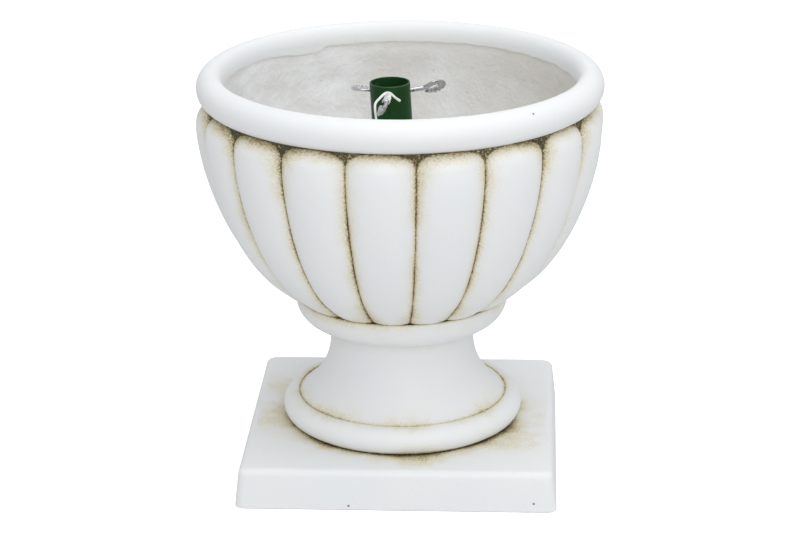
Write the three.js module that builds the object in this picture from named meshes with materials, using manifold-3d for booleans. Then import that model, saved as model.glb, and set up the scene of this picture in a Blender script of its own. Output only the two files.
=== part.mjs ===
// Footed urn of white cast composite with eighteen swelling lobes, a rolled rim and a square plinth.
// A steel tube stands in it as the socket for a tree pole, with three eye bolts to grip the pole.
//
// Millimetres, +Z up. The origin is the middle of the plinth's underside, on the floor, and the
// plinth's sides are square to X and Y.

import * as THREE from 'three';
import { mergeVertices } from 'three/addons/utils/BufferGeometryUtils.js';
import Module from 'manifold-3d';

const wasm = await Module();
wasm.setup();

// ---- driving dimensions -------------------------------------------------------------------

const seatGap = 0.3; // between two pieces that rest on each other

// plinth: a square slab, open below
const plinthWidth = 300; // at the floor
const plinthHeight = 38;
const plinthDraft = 4.1; // each side leans in by this much on its way up
const plinthCornerRadius = 8;
const plinthEdgeRadius = 6; // rolled edge round the top
const plinthWall = 15;
const plinthSlab = 14;
const plinthOpening = 70; // radius of the round way through the slab

// pedestal: torus foot, flaring stem and bowl-shaped collar, hollow below
const torusRadius = 115.3; // outermost
const torusTube = 13; // radius of its round section
const torusSink = 0.6; // the stem starts this far below the top of the torus
const torusTopAngle = 96; // degrees round the section, from outermost, where the stem meets it
const torusFootAngle = -72; // and where its flat foot does
const flareInset = 3.8; // the stem springs from the torus this far inside its highest line
const stemNeckRadius = 68.5;
const stemHeight = 70; // from the torus to the collar
const stemFlarePower = 3; // how late the neck turns into the flare
const collarRadius = 101.1;
const collarUndercut = 3.3; // step from the neck out to the collar's underside
const collarUndercutRise = 1.8; // height of that step
const collarSwell = 23.5; // height of the collar's quarter-round
const collarBand = 6.3; // height of the upright band over it, its rounded top edge included
const collarEdgeRadius = 2.2;
const pedestalWall = 12;
const pedestalWeb = 12; // thickness of the closed top
const footLand = 26.3; // width of the flat ring that the pedestal stands on

// bowl: lobes, rolled rim, inner wall
const lobeCount = 18;
const lobeTurn = 6.8; // degrees from +X to the middle of the first lobe
const bowlRadius = 191.8; // over the lobes
const bowlFootRadius = 81.2;
const bellyHeight = 165.4; // from the foot up to the widest place
const shoulderHeight = 24.2; // from there up to the rim's roll
const bellyLift = 1.55; // larger is a rounder belly, smaller a straighter cone
const bellySwell = 2.0; // how suddenly the underside turns up
const bellyReturn = 2.3; // the lobes draw in by this much between the belly and the rim
const lobeDepthShare = 0.055; // depth of the grooves, as a share of the radius there
const lobeFullness = 0.82; // 0 is a flat lobe, 1 a half round one
const archHeight = 17; // height of the rounded lobe tops
const archPower = 3; // 2 is a half round top, larger a squarer one
const rimTubeRadius = 15.2;
const rimInnerReach = 10.4; // from the middle of the rim's roll to its inner face, which is steeper
const rimInset = 0.8; // the lobes stand out past the rim's roll by this much
const innerStep = 2.4; // the rough inner wall lies this much further out than the rim's inner side
const innerStepDrop = 1; // height of the step between them
const bowlWall = 11;
const bowlFloor = 14.7;
const floorFillet = 12;

// steel tube for the tree pole, welded to a plate on the bowl's floor
const tubeDiameter = 38;
const tubeWall = 1.5;
const tubeLength = 187.4;
const tubeLean = 3; // degrees off plumb, towards -X
const weldSize = 4;
const weldHollow = 0.3; // 1 is a flat fillet, 0 a sharp inner corner
const plateThickness = 3;
const plateCornerRadius = 8;
const plateHoleOffset = 28; // from the middle, along X and along Y
const plateHoleEdge = 12; // from a hole's middle to the plate's edges
const tubeCollarWall = 2; // round each bolt, in collars drawn and tapped into the tube
const tubeCollarDepth = 2.5; // they reach this far inside the bore
const eyeBoltDrop = 11; // from the top of the tube to the bolts

// eye bolts: formed from round bar
const eyeWire = 4.7; // diameter
const eyeOuter = 22;
const eyeBoltLength = 40;
const eyeNeck = 4.2; // the bar stays straight until this far before the eye
const eyeJoinAngle = 140; // degrees round the eye, from outermost, where the neck's bend meets it
const eyeEndAngle = -160; // where the bar ends, just short of its own neck
const threadGap = 0.3; // round the shank, in its tapped collar
const eyeBolts = [ // tip: how far the inner end stands off the tube's middle line
  { name: 'eye_bolt_front', azimuth: -96, tip: 9.5, roll: 57 },
  { name: 'eye_bolt_right', azimuth: 24, tip: 15.5, roll: 136 },
  { name: 'eye_bolt_left', azimuth: 144, tip: 4.8, roll: 12 },
];

// hexagon bolts, nuts and washers: four hold tube plate, bowl and pedestal together, and four
// hold the pedestal on the plinth
const boltDiameter = 6;
const boltClearance = 0.4; // round a bolt, in every hole that it passes
const hexWidth = 10; // across flats
const headHeight = 4;
const nutHeight = 5;
const washerRadius = 7;
const washerThickness = 1.4;
const boltLengthStep = 5; // bolts are sold in lengths of this step
const boltTail = 6; // least length of clamp bolt past its nut
const boltGrip = 14; // least length of foot bolt inside its threaded sleeve
const insertRadius = 6; // threaded sleeves cast into the pedestal's foot
const insertLength = 17;

// twist tie on the front eye bolt
const tieWidth = 2.4;
const tieThickness = 0.9;
const tieRoute = [ // from the eye's middle, in eye diameters: outwards, across the eye, off its face
  [0.07, 0.53, -0.52],
  [0.09, 0.56, -0.26],
  [0.05, 0.59, 0],
  [0, 0.475, 0.18],
  [0.14, 0.22, 0.28],
  [0.27, -0.04, 0.33],
  [0.41, -0.25, 0.21],
  [0.41, -0.545, 0],
  [0.39, -0.89, -0.22],
  [0.36, -1.235, -0.43],
];

// facets round a full turn
const castingSides = 40;
const tubeSides = 32;
const holeSides = 12;
const fastenerSides = 10;
const eyeWireSides = 8;

// ---- sizes worked out from those ------------------------------------------------------------

const turn = THREE.MathUtils.degToRad;
const pedestalBottom = plinthHeight + seatGap;
const torusMiddle = torusRadius - torusTube;
const torusHeight = pedestalBottom + torusTube;
const stemFlareRadius = torusMiddle - flareInset;
const stemBottom = torusHeight + torusTube - torusSink;
const stemTop = stemBottom + stemHeight;
const landOuter = torusMiddle + torusTube * Math.cos(turn(torusFootAngle));
const landInner = landOuter - footLand;
const collarBottom = stemTop + collarUndercutRise;
const pedestalTop = collarBottom + collarSwell + collarBand;
const bowlBottom = pedestalTop + seatGap;
const bellyZ = bowlBottom + bellyHeight;
const rimFoot = bellyZ + shoulderHeight;
const rimZ = rimFoot + rimTubeRadius;
const rimMiddle = bowlRadius - rimInset - rimTubeRadius;
const rimInner = rimMiddle - rimInnerReach;
const floorTop = bowlBottom + bowlFloor;
const plateBottom = floorTop + seatGap;
const plateTop = plateBottom + plateThickness;
const tubeFoot = plateTop + seatGap;
const tubeOuter = tubeDiameter / 2;
const tubeBore = tubeOuter - tubeWall;
const leanAngle = turn(tubeLean);
const eyeBoltHeight = tubeLength - eyeBoltDrop; // along the tube
const shankRadius = eyeWire / 2;
const eyeLoop = (eyeOuter - eyeWire) / 2; // radius of the eye's middle line
const eyeCentre = eyeBoltLength - eyeOuter / 2; // from the bolt's inner end
const boltRadius = boltDiameter / 2;
const holeRadius = boltRadius + boltClearance;
const hexRadius = hexWidth / Math.sqrt(3);
const clampHead = plateTop + seatGap; // underside of the clamp bolts' heads
const pedestalCeiling = pedestalTop - pedestalWeb;
const clampWasherBottom = pedestalCeiling - seatGap - washerThickness;
const clampNutBottom = clampWasherBottom - seatGap - nutHeight;
const clampBoltLength = nextLength(clampHead - clampNutBottom + boltTail);
const plinthCeiling = plinthHeight - plinthSlab;
const footWasherBottom = plinthCeiling - seatGap - washerThickness;
const footHead = footWasherBottom - seatGap; // underside of the foot bolts' heads
const insertBottom = pedestalBottom + seatGap;
const insertTop = insertBottom + insertLength;
const footBoltLength = nextLength(insertBottom + boltGrip - footHead);
const insertHoleTop = Math.max(insertTop, footHead + footBoltLength) + seatGap;
const footBoltPlaces = [45, 135, 225, 315].map((angle) => [
  ((landInner + landOuter) / 2) * Math.cos(turn(angle)),
  ((landInner + landOuter) / 2) * Math.sin(turn(angle)),
]);
const clampBoltPlaces = [[1, 1], [-1, 1], [-1, -1], [1, -1]].map(([sx, sy]) => [
  sx * plateHoleOffset,
  sy * plateHoleOffset,
]);

// The next length up that bolts are sold in.
function nextLength(least) {
  return boltLengthStep * Math.ceil(least / boltLengthStep);
}

// ---- helpers ----------------------------------------------------------------------------------

const XAXIS = new THREE.Vector3(1, 0, 0);

// A closed mesh whose shared corners are one vertex, facing outwards.
function closed(geometry) {
  const bare = geometry.clone();
  bare.deleteAttribute('normal');
  bare.deleteAttribute('uv');
  const merged = mergeVertices(bare, 1e-4);
  const at = merged.attributes.position.array;
  const index = merged.index.array;
  const kept = [];
  let sixVolumes = 0;
  const corner = (i) => new THREE.Vector3().fromArray(at, 3 * i);
  for (let k = 0; k < index.length; k += 3) {
    const [a, b, c] = [index[k], index[k + 1], index[k + 2]];
    if (a === b || b === c || c === a) continue;
    kept.push(a, b, c);
    sixVolumes += corner(a).dot(corner(b).cross(corner(c)));
  }
  if (sixVolumes < 0) kept.reverse();
  merged.setIndex(kept);
  return merged;
}

function toManifold(geometry) {
  const merged = closed(geometry);
  return new wasm.Manifold(new wasm.Mesh({
    numProp: 3,
    vertProperties: new Float32Array(merged.attributes.position.array),
    triVerts: new Uint32Array(merged.index.array),
  }));
}

function fromManifold(solid) {
  const mesh = solid.getMesh();
  const geometry = new THREE.BufferGeometry();
  geometry.setAttribute('position', new THREE.BufferAttribute(mesh.vertProperties, 3));
  geometry.setIndex(new THREE.BufferAttribute(mesh.triVerts, 1));
  return geometry;
}

// Cuts the tools out of the body.
function cut(body, tools) {
  const left = tools.reduce((rest, tool) => rest.subtract(toManifold(tool)), toManifold(body));
  return fromManifold(left);
}

// Skins a row of rings that all have the same number of points. A loop joins its last ring to its
// first; otherwise both ends are closed by a fan about the ring's middle.
function skin(rings, isLoop) {
  const count = rings[0].length;
  const points = rings.flat();
  const index = [];
  const bands = isLoop ? rings.length : rings.length - 1;
  for (let band = 0; band < bands; band += 1) {
    const next = (band + 1) % rings.length;
    for (let i = 0; i < count; i += 1) {
      const j = (i + 1) % count;
      const [a, b] = [band * count + i, band * count + j];
      const [c, d] = [next * count + i, next * count + j];
      index.push(a, b, d, a, d, c);
    }
  }
  if (!isLoop) {
    for (const last of [false, true]) {
      const ring = last ? rings[rings.length - 1] : rings[0];
      const start = last ? (rings.length - 1) * count : 0;
      const middle = new THREE.Vector3();
      ring.forEach((p) => middle.add(p));
      points.push(middle.divideScalar(count));
      const hub = points.length - 1;
      for (let i = 0; i < count; i += 1) {
        const [a, b] = [start + i, start + ((i + 1) % count)];
        index.push(...(last ? [a, b, hub] : [b, a, hub]));
      }
    }
  }
  const geometry = new THREE.BufferGeometry().setFromPoints(points);
  geometry.setIndex(index);
  return closed(geometry);
}

// Points along an arc, both ends included; angles in degrees from +R towards +Z.
function arc(r, z, radiusR, radiusZ, from, to, steps) {
  return Array.from({ length: steps + 1 }, (_, i) => {
    const angle = turn(from + ((to - from) * i) / steps);
    return new THREE.Vector2(r + radiusR * Math.cos(angle), z + radiusZ * Math.sin(angle));
  });
}

// Turns a profile of (radius, height) points round Z.
function revolve(profile, sides) {
  const lathe = new THREE.LatheGeometry(profile, sides);
  lathe.rotateX(Math.PI / 2);
  return closed(lathe);
}

// A revolved piece with a bore: the profile's last point joins its first.
function revolveRing(profile, sides) {
  return revolve([...profile, profile[0].clone()], sides);
}

const rz = (r, z) => new THREE.Vector2(r, z);

// An upright cylinder from one height to another.
function rod(radius, from, to, sides, x = 0, y = 0) {
  const bar = new THREE.CylinderGeometry(radius, radius, to - from, sides);
  bar.rotateX(Math.PI / 2);
  bar.translate(x, y, (from + to) / 2);
  return bar;
}

// Cutting tools for upright holes, a little longer than the holes at both ends.
function holesAt(places, radius, from, to, overrun = 1) {
  return places.map(([x, y]) => rod(radius, from - overrun, to + overrun, holeSides, x, y));
}

function spread(count, from, to) {
  return Array.from({ length: count }, (_, i) => from + ((to - from) * i) / (count - 1));
}

// ---- materials --------------------------------------------------------------------------------

const finish = (color, roughness, metalness) => new THREE.MeshStandardMaterial(
  { color, roughness, metalness },
);
const whiteCasting = finish(0xe4e3e0, 0.72, 0);
const greenPaint = finish(0x1f4a24, 0.42, 0);
const zinc = finish(0xb4b7ba, 0.32, 1);
const brass = finish(0xb08d4a, 0.4, 1);
const whitePlastic = finish(0xf2f4f2, 0.4, 0);

// ---- plinth -------------------------------------------------------------------------------------

// A square with rounded corners as a ring of points, starting next to +X.
function squareRing(half, cornerRadius, z, stepsPerCorner) {
  const ring = [];
  const inset = half - cornerRadius;
  for (let quarter = 0; quarter < 4; quarter += 1) {
    const [cx, cy] = [[1, 1], [-1, 1], [-1, -1], [1, -1]][quarter];
    for (let i = 0; i <= stepsPerCorner; i += 1) {
      const angle = turn(90 * quarter + (90 * i) / stepsPerCorner);
      ring.push(new THREE.Vector3(
        cx * inset + cornerRadius * Math.cos(angle),
        cy * inset + cornerRadius * Math.sin(angle),
        z,
      ));
    }
  }
  return ring;
}

const cornerSteps = 5;

// A circle with as many points as a square ring, turned so that the two pair up.
function roundRing(radius, z) {
  const count = 4 * (cornerSteps + 1);
  return Array.from({ length: count }, (_, i) => {
    const angle = (2 * Math.PI * (i + 0.5)) / count;
    return new THREE.Vector3(radius * Math.cos(angle), radius * Math.sin(angle), z);
  });
}

function plinthHalf(z) {
  return plinthWidth / 2 - (plinthDraft * z) / plinthHeight;
}

function plinth() {
  const edgeStart = plinthHeight - plinthEdgeRadius;
  const rings = [squareRing(plinthHalf(0), plinthCornerRadius, 0, cornerSteps)];
  for (const point of arc(0, edgeStart, plinthEdgeRadius, plinthEdgeRadius, 0, 90, 3)) {
    const half = plinthHalf(point.y) - plinthEdgeRadius + point.x;
    rings.push(squareRing(half, plinthCornerRadius, point.y, cornerSteps));
  }
  rings.push(roundRing(plinthOpening, plinthHeight));
  rings.push(roundRing(plinthOpening, plinthCeiling));
  for (const z of [plinthCeiling, 0]) {
    rings.push(squareRing(plinthHalf(z) - plinthWall, plinthCornerRadius, z, cornerSteps));
  }
  return cut(skin(rings, true), holesAt(footBoltPlaces, holeRadius, 0, plinthHeight));
}

// ---- pedestal -----------------------------------------------------------------------------------

// Radius of the flaring stem at a height.
function stemRadius(z) {
  const down = (stemTop - z) / stemHeight;
  return stemNeckRadius + (stemFlareRadius - stemNeckRadius) * down ** stemFlarePower;
}

function pedestal() {
  const outer = [
    ...arc(torusMiddle, torusHeight, torusTube, torusTube, torusFootAngle, torusTopAngle, 8),
    ...spread(7, stemBottom, stemTop).map((z) => rz(stemRadius(z), z)),
    ...arc(
      stemNeckRadius + collarUndercut,
      collarBottom + collarSwell,
      collarRadius - stemNeckRadius - collarUndercut,
      collarSwell,
      -90,
      0,
      5,
    ),
    ...arc(
      collarRadius - collarEdgeRadius,
      pedestalTop - collarEdgeRadius,
      collarEdgeRadius,
      collarEdgeRadius,
      0,
      90,
      2,
    ),
  ];
  const inner = spread(5, stemTop, stemBottom).map((z) => (
    rz(Math.min(stemRadius(z) - pedestalWall, landInner), z)
  ));
  const profile = [
    rz(0, pedestalCeiling),
    rz(stemNeckRadius - pedestalWall, pedestalCeiling),
    ...inner,
    rz(landInner, pedestalBottom),
    rz(landOuter, pedestalBottom),
    ...outer,
    rz(0, pedestalTop),
  ];
  return cut(revolve(profile, castingSides), [
    ...holesAt(clampBoltPlaces, holeRadius, pedestalCeiling, pedestalTop),
    ...holesAt(footBoltPlaces, insertRadius + seatGap, pedestalBottom, insertHoleTop, 0),
  ]);
}

// ---- bowl ---------------------------------------------------------------------------------------

// Radius over the lobes at a height above the bowl's foot.
function crestRadius(z) {
  const up = Math.min((z - bowlBottom) / bellyHeight, 1);
  const swell = (1 - (1 - up) ** bellyLift) ** (1 / bellySwell);
  const past = Math.max(0, (z - bellyZ) / shoulderHeight);
  return bowlFootRadius + (bowlRadius - bowlFootRadius) * swell - bellyReturn * past ** 2;
}

// How far a lobe stands out, from 1 along its middle to 0 at its edge.
function lobeBulge(offset) {
  const floor = Math.sqrt(1 - lobeFullness);
  const inside = Math.max(0, 1 - lobeFullness * Math.min(offset, 1) ** 2);
  return (Math.sqrt(inside) - floor) / (1 - floor);
}

// Radius of the lobed wall: across a lobe runs from -1 to 1 and the lobe's top end is an arch.
function lobedRadius(z, across) {
  const crest = crestRadius(z);
  const groove = crest * (1 - lobeDepthShare);
  const intoArch = Math.max(0, (z - rimFoot + archHeight) / archHeight);
  const offset = (Math.abs(across) ** archPower + intoArch ** archPower) ** (1 / archPower);
  return groove + (crest - groove) * lobeBulge(offset);
}

const acrossSteps = [-1, -0.8, -0.42, 0, 0.42, 0.8]; // the next lobe's -1 closes the row

function bowlRing(radiusAt, z) {
  const ring = [];
  for (let lobe = 0; lobe < lobeCount; lobe += 1) {
    for (const across of acrossSteps) {
      const angle = turn(lobeTurn) + (Math.PI * (2 * lobe + across)) / lobeCount;
      const radius = radiusAt(across);
      ring.push(new THREE.Vector3(radius * Math.cos(angle), radius * Math.sin(angle), z));
    }
  }
  return ring;
}

function bowl() {
  const rings = [bowlRing(() => bowlFootRadius, bowlBottom)];
  const bellyRows = 9; // closer together near the foot, where the underside turns
  for (let i = 1; i <= bellyRows; i += 1) {
    const z = bowlBottom + bellyHeight * (i / (bellyRows + 0.4)) ** 1.6;
    rings.push(bowlRing((across) => lobedRadius(z, across), z));
  }
  for (const z of spread(4, rimFoot - archHeight, rimFoot)) {
    rings.push(bowlRing((across) => lobedRadius(z, across), z));
  }
  const grooveTop = crestRadius(rimFoot) * (1 - lobeDepthShare);
  const rimStart = -Math.acos((grooveTop - rimMiddle) / rimTubeRadius) / turn(1);
  for (const p of arc(rimMiddle, rimZ, rimTubeRadius, rimTubeRadius, rimStart, 90, 5)) {
    rings.push(bowlRing(() => p.x, p.y));
  }
  for (const p of arc(rimMiddle, rimZ, rimInnerReach, rimTubeRadius, 90, 180, 3).slice(1)) {
    rings.push(bowlRing(() => p.x, p.y));
  }
  const stepBottom = rimZ - innerStepDrop;
  rings.push(bowlRing(() => rimInner + innerStep, stepBottom));
  const innerRadius = (z) => { // follows the grooves, and under the rim it runs out to the step
    const wall = crestRadius(z) * (1 - lobeDepthShare) - bowlWall;
    const share = Math.min(1, (stepBottom - z) / (2 * rimTubeRadius));
    return wall * share + (rimInner + innerStep) * (1 - share);
  };
  const filletTop = floorTop + floorFillet;
  for (const z of spread(5, stepBottom - rimTubeRadius, filletTop)) {
    rings.push(bowlRing(() => innerRadius(z), z));
  }
  const filletMiddle = innerRadius(filletTop) - floorFillet;
  for (const p of arc(filletMiddle, filletTop, floorFillet, floorFillet, -30, -90, 2)) {
    rings.push(bowlRing(() => p.x, p.y));
  }
  return cut(skin(rings, false), holesAt(clampBoltPlaces, holeRadius, bowlBottom, floorTop));
}

// ---- tube and its plate -------------------------------------------------------------------------

function tubePlate() {
  const half = plateHoleOffset + plateHoleEdge;
  const outline = new THREE.Shape(
    squareRing(half, plateCornerRadius, 0, 4).map((p) => new THREE.Vector2(p.x, p.y)),
  );
  for (const [x, y] of clampBoltPlaces) {
    outline.holes.push(new THREE.Path().absarc(x, y, holeRadius, 0, 2 * Math.PI, true));
  }
  const plate = new THREE.ExtrudeGeometry(outline, {
    depth: plateThickness, bevelEnabled: false, curveSegments: 6,
  });
  plate.translate(0, 0, plateBottom);
  return plate;
}

// The tube stands in a leaning frame of its own, with its foot at the origin. A round bar along a
// bolt's direction, from one distance off the tube's middle to another:
function barAcross(bolt, radius, from, to) {
  const bar = rod(radius, from, to, holeSides);
  bar.rotateY(Math.PI / 2);
  bar.rotateZ(turn(bolt.azimuth));
  bar.translate(0, 0, eyeBoltHeight);
  return bar;
}

function tube() {
  const tappedRadius = shankRadius + threadGap;
  const profile = [
    rz(tubeBore, 0),
    rz(tubeOuter + weldSize, 0),
    rz(tubeOuter + weldSize * weldHollow, weldSize * weldHollow),
    rz(tubeOuter, weldSize),
    rz(tubeOuter, tubeLength),
    rz(tubeBore, tubeLength),
  ];
  const straight = revolveRing(profile, tubeSides);
  const at = straight.attributes.position;
  for (let i = 0; i < at.count; i += 1) { // the foot is cut level, so that it meets the plate
    const level = -at.getX(i) * Math.tan(leanAngle);
    if (at.getZ(i) < tubeLength / 2) at.setZ(i, at.getZ(i) + level);
  }
  const collared = eyeBolts.reduce((body, bolt) => body.add(toManifold(
    barAcross(bolt, tappedRadius + tubeCollarWall, tubeBore - tubeCollarDepth, tubeOuter - tubeWall / 2),
  )), toManifold(straight));
  const holes = eyeBolts.map((bolt) => (
    toManifold(barAcross(bolt, tappedRadius, 0, 2 * tubeOuter))
  ));
  return fromManifold(holes.reduce((body, hole) => body.subtract(hole), collared));
}

// ---- eye bolt -----------------------------------------------------------------------------------

// The bar's middle line, from the inner end of the bolt straight along X to the neck, and then
// round the eye and back to the neck.
class EyeLine extends THREE.Curve {
  constructor() {
    super();
    const neck = eyeCentre - eyeLoop - eyeNeck;
    const shank = [0, neck / 2, neck - shankRadius, neck].map((x) => [x, 0]);
    const eye = spread(19, eyeJoinAngle, eyeEndAngle).map((angle) => [
      eyeCentre + eyeLoop * Math.cos(turn(angle)),
      eyeLoop * Math.sin(turn(angle)),
    ]);
    const points = [...shank, ...eye].map(([x, y]) => new THREE.Vector3(x, y, 0));
    this.line = new THREE.CatmullRomCurve3(points, false, 'centripetal');
  }

  getPoint(t, target = new THREE.Vector3()) {
    return this.line.getPoint(t, target);
  }
}

function eyeBolt() {
  const section = new THREE.Shape(Array.from({ length: eyeWireSides }, (_, i) => {
    const angle = (2 * Math.PI * (i + 0.5)) / eyeWireSides;
    return new THREE.Vector2(shankRadius * Math.cos(angle), shankRadius * Math.sin(angle));
  }));
  return new THREE.ExtrudeGeometry(section, {
    steps: 28, bevelEnabled: false, extrudePath: new EyeLine(),
  });
}

// ---- twist tie ----------------------------------------------------------------------------------

function twistTie() {
  const points = tieRoute.map(([out, across, off]) => (
    new THREE.Vector3(out, across, off).multiplyScalar(eyeOuter).setX(eyeCentre + out * eyeOuter)
  ));
  const [half, thin] = [tieWidth / 2, tieThickness / 2];
  const corners = [[-thin, -half], [thin, -half], [thin, half], [-thin, half]];
  const strip = new THREE.Shape(corners.map(([x, y]) => new THREE.Vector2(x, y)));
  return new THREE.ExtrudeGeometry(strip, {
    steps: 28,
    bevelEnabled: false,
    extrudePath: new THREE.CatmullRomCurve3(points, false, 'centripetal'),
  });
}

// ---- fasteners ----------------------------------------------------------------------------------

// Hexagon bolt with its head's underside at z = 0 and its shank going down.
function hexBolt(length) {
  const head = rod(hexRadius, 0, headHeight, 6);
  const shank = rod(boltRadius, -length, headHeight / 2, fastenerSides);
  return fromManifold(toManifold(head).add(toManifold(shank)));
}

function hexNut() {
  const bore = rod(boltRadius + seatGap, -1, nutHeight + 1, fastenerSides);
  return cut(rod(hexRadius, 0, nutHeight, 6), [bore]);
}

function sleeve(bore, outer, height) {
  const profile = [rz(bore, 0), rz(outer, 0), rz(outer, height), rz(bore, height)];
  return revolveRing(profile, fastenerSides);
}

const washer = () => sleeve(holeRadius, washerRadius, washerThickness);
const insert = () => sleeve(boltRadius + seatGap, insertRadius, insertLength);

// ---- assembly -----------------------------------------------------------------------------------

const group = new THREE.Group();

function place(parent, name, geometry, material, x = 0, y = 0, z = 0) {
  const mesh = new THREE.Mesh(geometry, material);
  mesh.name = name;
  mesh.position.set(x, y, z);
  parent.add(mesh);
  return mesh;
}

place(group, 'plinth', plinth(), whiteCasting);
place(group, 'pedestal', pedestal(), whiteCasting);
place(group, 'urn_bowl', bowl(), whiteCasting);
place(group, 'tube_plate', tubePlate(), greenPaint);

const leaning = new THREE.Group();
leaning.position.set(0, 0, tubeFoot);
leaning.rotation.y = -leanAngle;
group.add(leaning);
place(leaning, 'pole_tube', tube(), greenPaint);

for (const bolt of eyeBolts) {
  const line = new THREE.Group();
  line.position.set(0, 0, eyeBoltHeight);
  line.rotation.z = turn(bolt.azimuth);
  leaning.add(line);
  const rolled = new THREE.Group();
  rolled.position.set(bolt.tip, 0, 0);
  rolled.setRotationFromAxisAngle(XAXIS, turn(bolt.roll));
  line.add(rolled);
  place(rolled, bolt.name, eyeBolt(), zinc);
  if (bolt === eyeBolts[0]) place(rolled, 'twist_tie', twistTie(), whitePlastic);
}

// plate, bowl floor and pedestal top on four bolts, with washers and nuts inside the pedestal
clampBoltPlaces.forEach(([x, y], i) => {
  place(group, `clamp_bolt_${i + 1}`, hexBolt(clampBoltLength), zinc, x, y, clampHead);
  place(group, `clamp_washer_${i + 1}`, washer(), zinc, x, y, clampWasherBottom);
  place(group, `clamp_nut_${i + 1}`, hexNut(), zinc, x, y, clampNutBottom);
});

// pedestal on the plinth: bolts from below into threaded sleeves in the pedestal's foot
footBoltPlaces.forEach(([x, y], i) => {
  const bolt = hexBolt(footBoltLength).rotateX(Math.PI);
  place(group, `foot_bolt_${i + 1}`, bolt, zinc, x, y, footHead);
  place(group, `foot_washer_${i + 1}`, washer(), zinc, x, y, footWasherBottom);
  place(group, `foot_insert_${i + 1}`, insert(), brass, x, y, insertBottom);
});

export default group;
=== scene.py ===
# %% [markdown]
# # A cast urn planter with a socket tube
#
# The real object is an urn of white cast composite. Eighteen swelling lobes run up its bowl to a
# rolled rim, a brown wash lies in every groove, and a green steel tube with three screws stands
# inside to hold a tree pole. The sizes come from a frame of plain solids that is loaded first. Each
# visible piece is then built finer, in the same place, and gets a finish of its own.

# %% Load the frame and keep its box
import math

import bmesh
import bpy
import numpy as np
from mathutils import Matrix, Vector
from mathutils import noise as point_noise


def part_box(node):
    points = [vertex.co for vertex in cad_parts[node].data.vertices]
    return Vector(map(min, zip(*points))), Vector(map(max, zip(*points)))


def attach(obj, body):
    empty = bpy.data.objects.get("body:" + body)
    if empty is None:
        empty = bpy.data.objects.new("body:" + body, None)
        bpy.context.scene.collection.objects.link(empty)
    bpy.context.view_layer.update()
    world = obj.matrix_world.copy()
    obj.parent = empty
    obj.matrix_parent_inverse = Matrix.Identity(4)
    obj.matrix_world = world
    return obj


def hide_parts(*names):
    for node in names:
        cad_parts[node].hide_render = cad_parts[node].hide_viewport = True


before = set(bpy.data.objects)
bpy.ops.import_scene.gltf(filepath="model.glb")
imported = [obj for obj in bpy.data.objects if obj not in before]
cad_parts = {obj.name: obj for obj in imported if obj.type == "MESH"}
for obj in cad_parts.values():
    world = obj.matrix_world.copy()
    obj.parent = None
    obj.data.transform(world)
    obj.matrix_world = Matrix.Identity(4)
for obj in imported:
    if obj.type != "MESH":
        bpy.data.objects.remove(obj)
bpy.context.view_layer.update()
scene = bpy.context.scene
MM = 0.001

# %% [markdown]
# ## Camera
#
# The camera stands two and a half metres off with a long lens, a little right of the middle and
# twenty degrees above it, as in the photograph. It is written as the point where it stands, the
# point that it looks at, and a small roll. Three directions make up its matrix, which is easier to
# read than three angles that turn one after the other.

# %% Camera
IMAGE_WIDTH = 800  # pixels
FOCAL_PIXELS = 2654.83
SENSOR = 36  # mm
EYE = Vector((0.1256, -2.3951, 1.03805))
TARGET = Vector((-0.00149, -0.00011, 0.18791))
ROLL = -0.4438  # degrees

camera = bpy.data.objects.new("camera", bpy.data.cameras.new("camera"))
camera.data.sensor_width = SENSOR
camera.data.lens = SENSOR * FOCAL_PIXELS / IMAGE_WIDTH
camera.data.clip_start, camera.data.clip_end = 0.1, 20
ahead = (TARGET - EYE).normalized()
level = ahead.cross(Vector((0, 0, 1))).normalized()
right = Matrix.Rotation(math.radians(-ROLL), 3, ahead) @ level
camera.matrix_world = Matrix((right, right.cross(ahead), -ahead)).transposed().to_4x4()
camera.location = EYE
scene.collection.objects.link(camera)
scene.camera = camera
scene.view_settings.view_transform = "Standard"
print("camera: lens", round(camera.data.lens, 1), "mm")

# %% [markdown]
# ## Short words for node trees
#
# Light, shapes and finishes are all made of nodes. Written one by one, a formula of ten Math nodes
# fills a page, so a small class stands for one value in a tree: adding, multiplying or raising it
# makes the node and the link. The same class serves shader trees and geometry trees.

# %% A value in a node tree


class Field:
    """One value in a tree. Arithmetic on it adds Math nodes."""

    def __init__(self, tree, socket):
        self.tree, self.socket = tree, socket

    def math(self, operation, *others):
        node = self.tree.nodes.new("ShaderNodeMath")
        node.operation = operation
        for slot, value in zip(node.inputs, (self, *others)):
            feed(self.tree, slot, value)
        return Field(self.tree, node.outputs[0])

    def __add__(self, other):
        return self.math("ADD", other)

    def __sub__(self, other):
        return self.math("SUBTRACT", other)

    def __mul__(self, other):
        return self.math("MULTIPLY", other)

    def __truediv__(self, other):
        return self.math("DIVIDE", other)

    def __pow__(self, other):
        return self.math("POWER", other)

    def __rsub__(self, other):
        return (self * -1) + other

    __radd__, __rmul__ = __add__, __mul__

    def clamped(self, low=0.0, high=1.0):
        return self.math("MAXIMUM", low).math("MINIMUM", high)

    def fading(self, width):
        """1 where the value is 0, falling off over a width: e to the power -value/width."""
        return (self * -1 / width).math("EXPONENT")


def feed(tree, socket, value):
    """Links a field or a socket to an input, or sets the input to a plain value."""
    if isinstance(value, Field):
        tree.links.new(value.socket, socket)
    elif isinstance(value, bpy.types.NodeSocket):
        tree.links.new(value, socket)
    else:
        socket.default_value = value


# %% [markdown]
# Two more words do the rest. One adds a node with its settings and inputs in one line. The other
# makes a node group with named sockets, because a group that is made once can be placed many times
# with values of its own.

# %% Adding a node, and making a group


def add(tree, kind, inputs=(), **settings):
    """Adds a node, sets it up and feeds its inputs, which go by name or number."""
    node = tree.nodes.new(kind)
    for name, value in settings.items():
        setattr(node, name, value)
    for key, value in dict(inputs).items():
        feed(tree, node.inputs[key], value)
    return node


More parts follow.
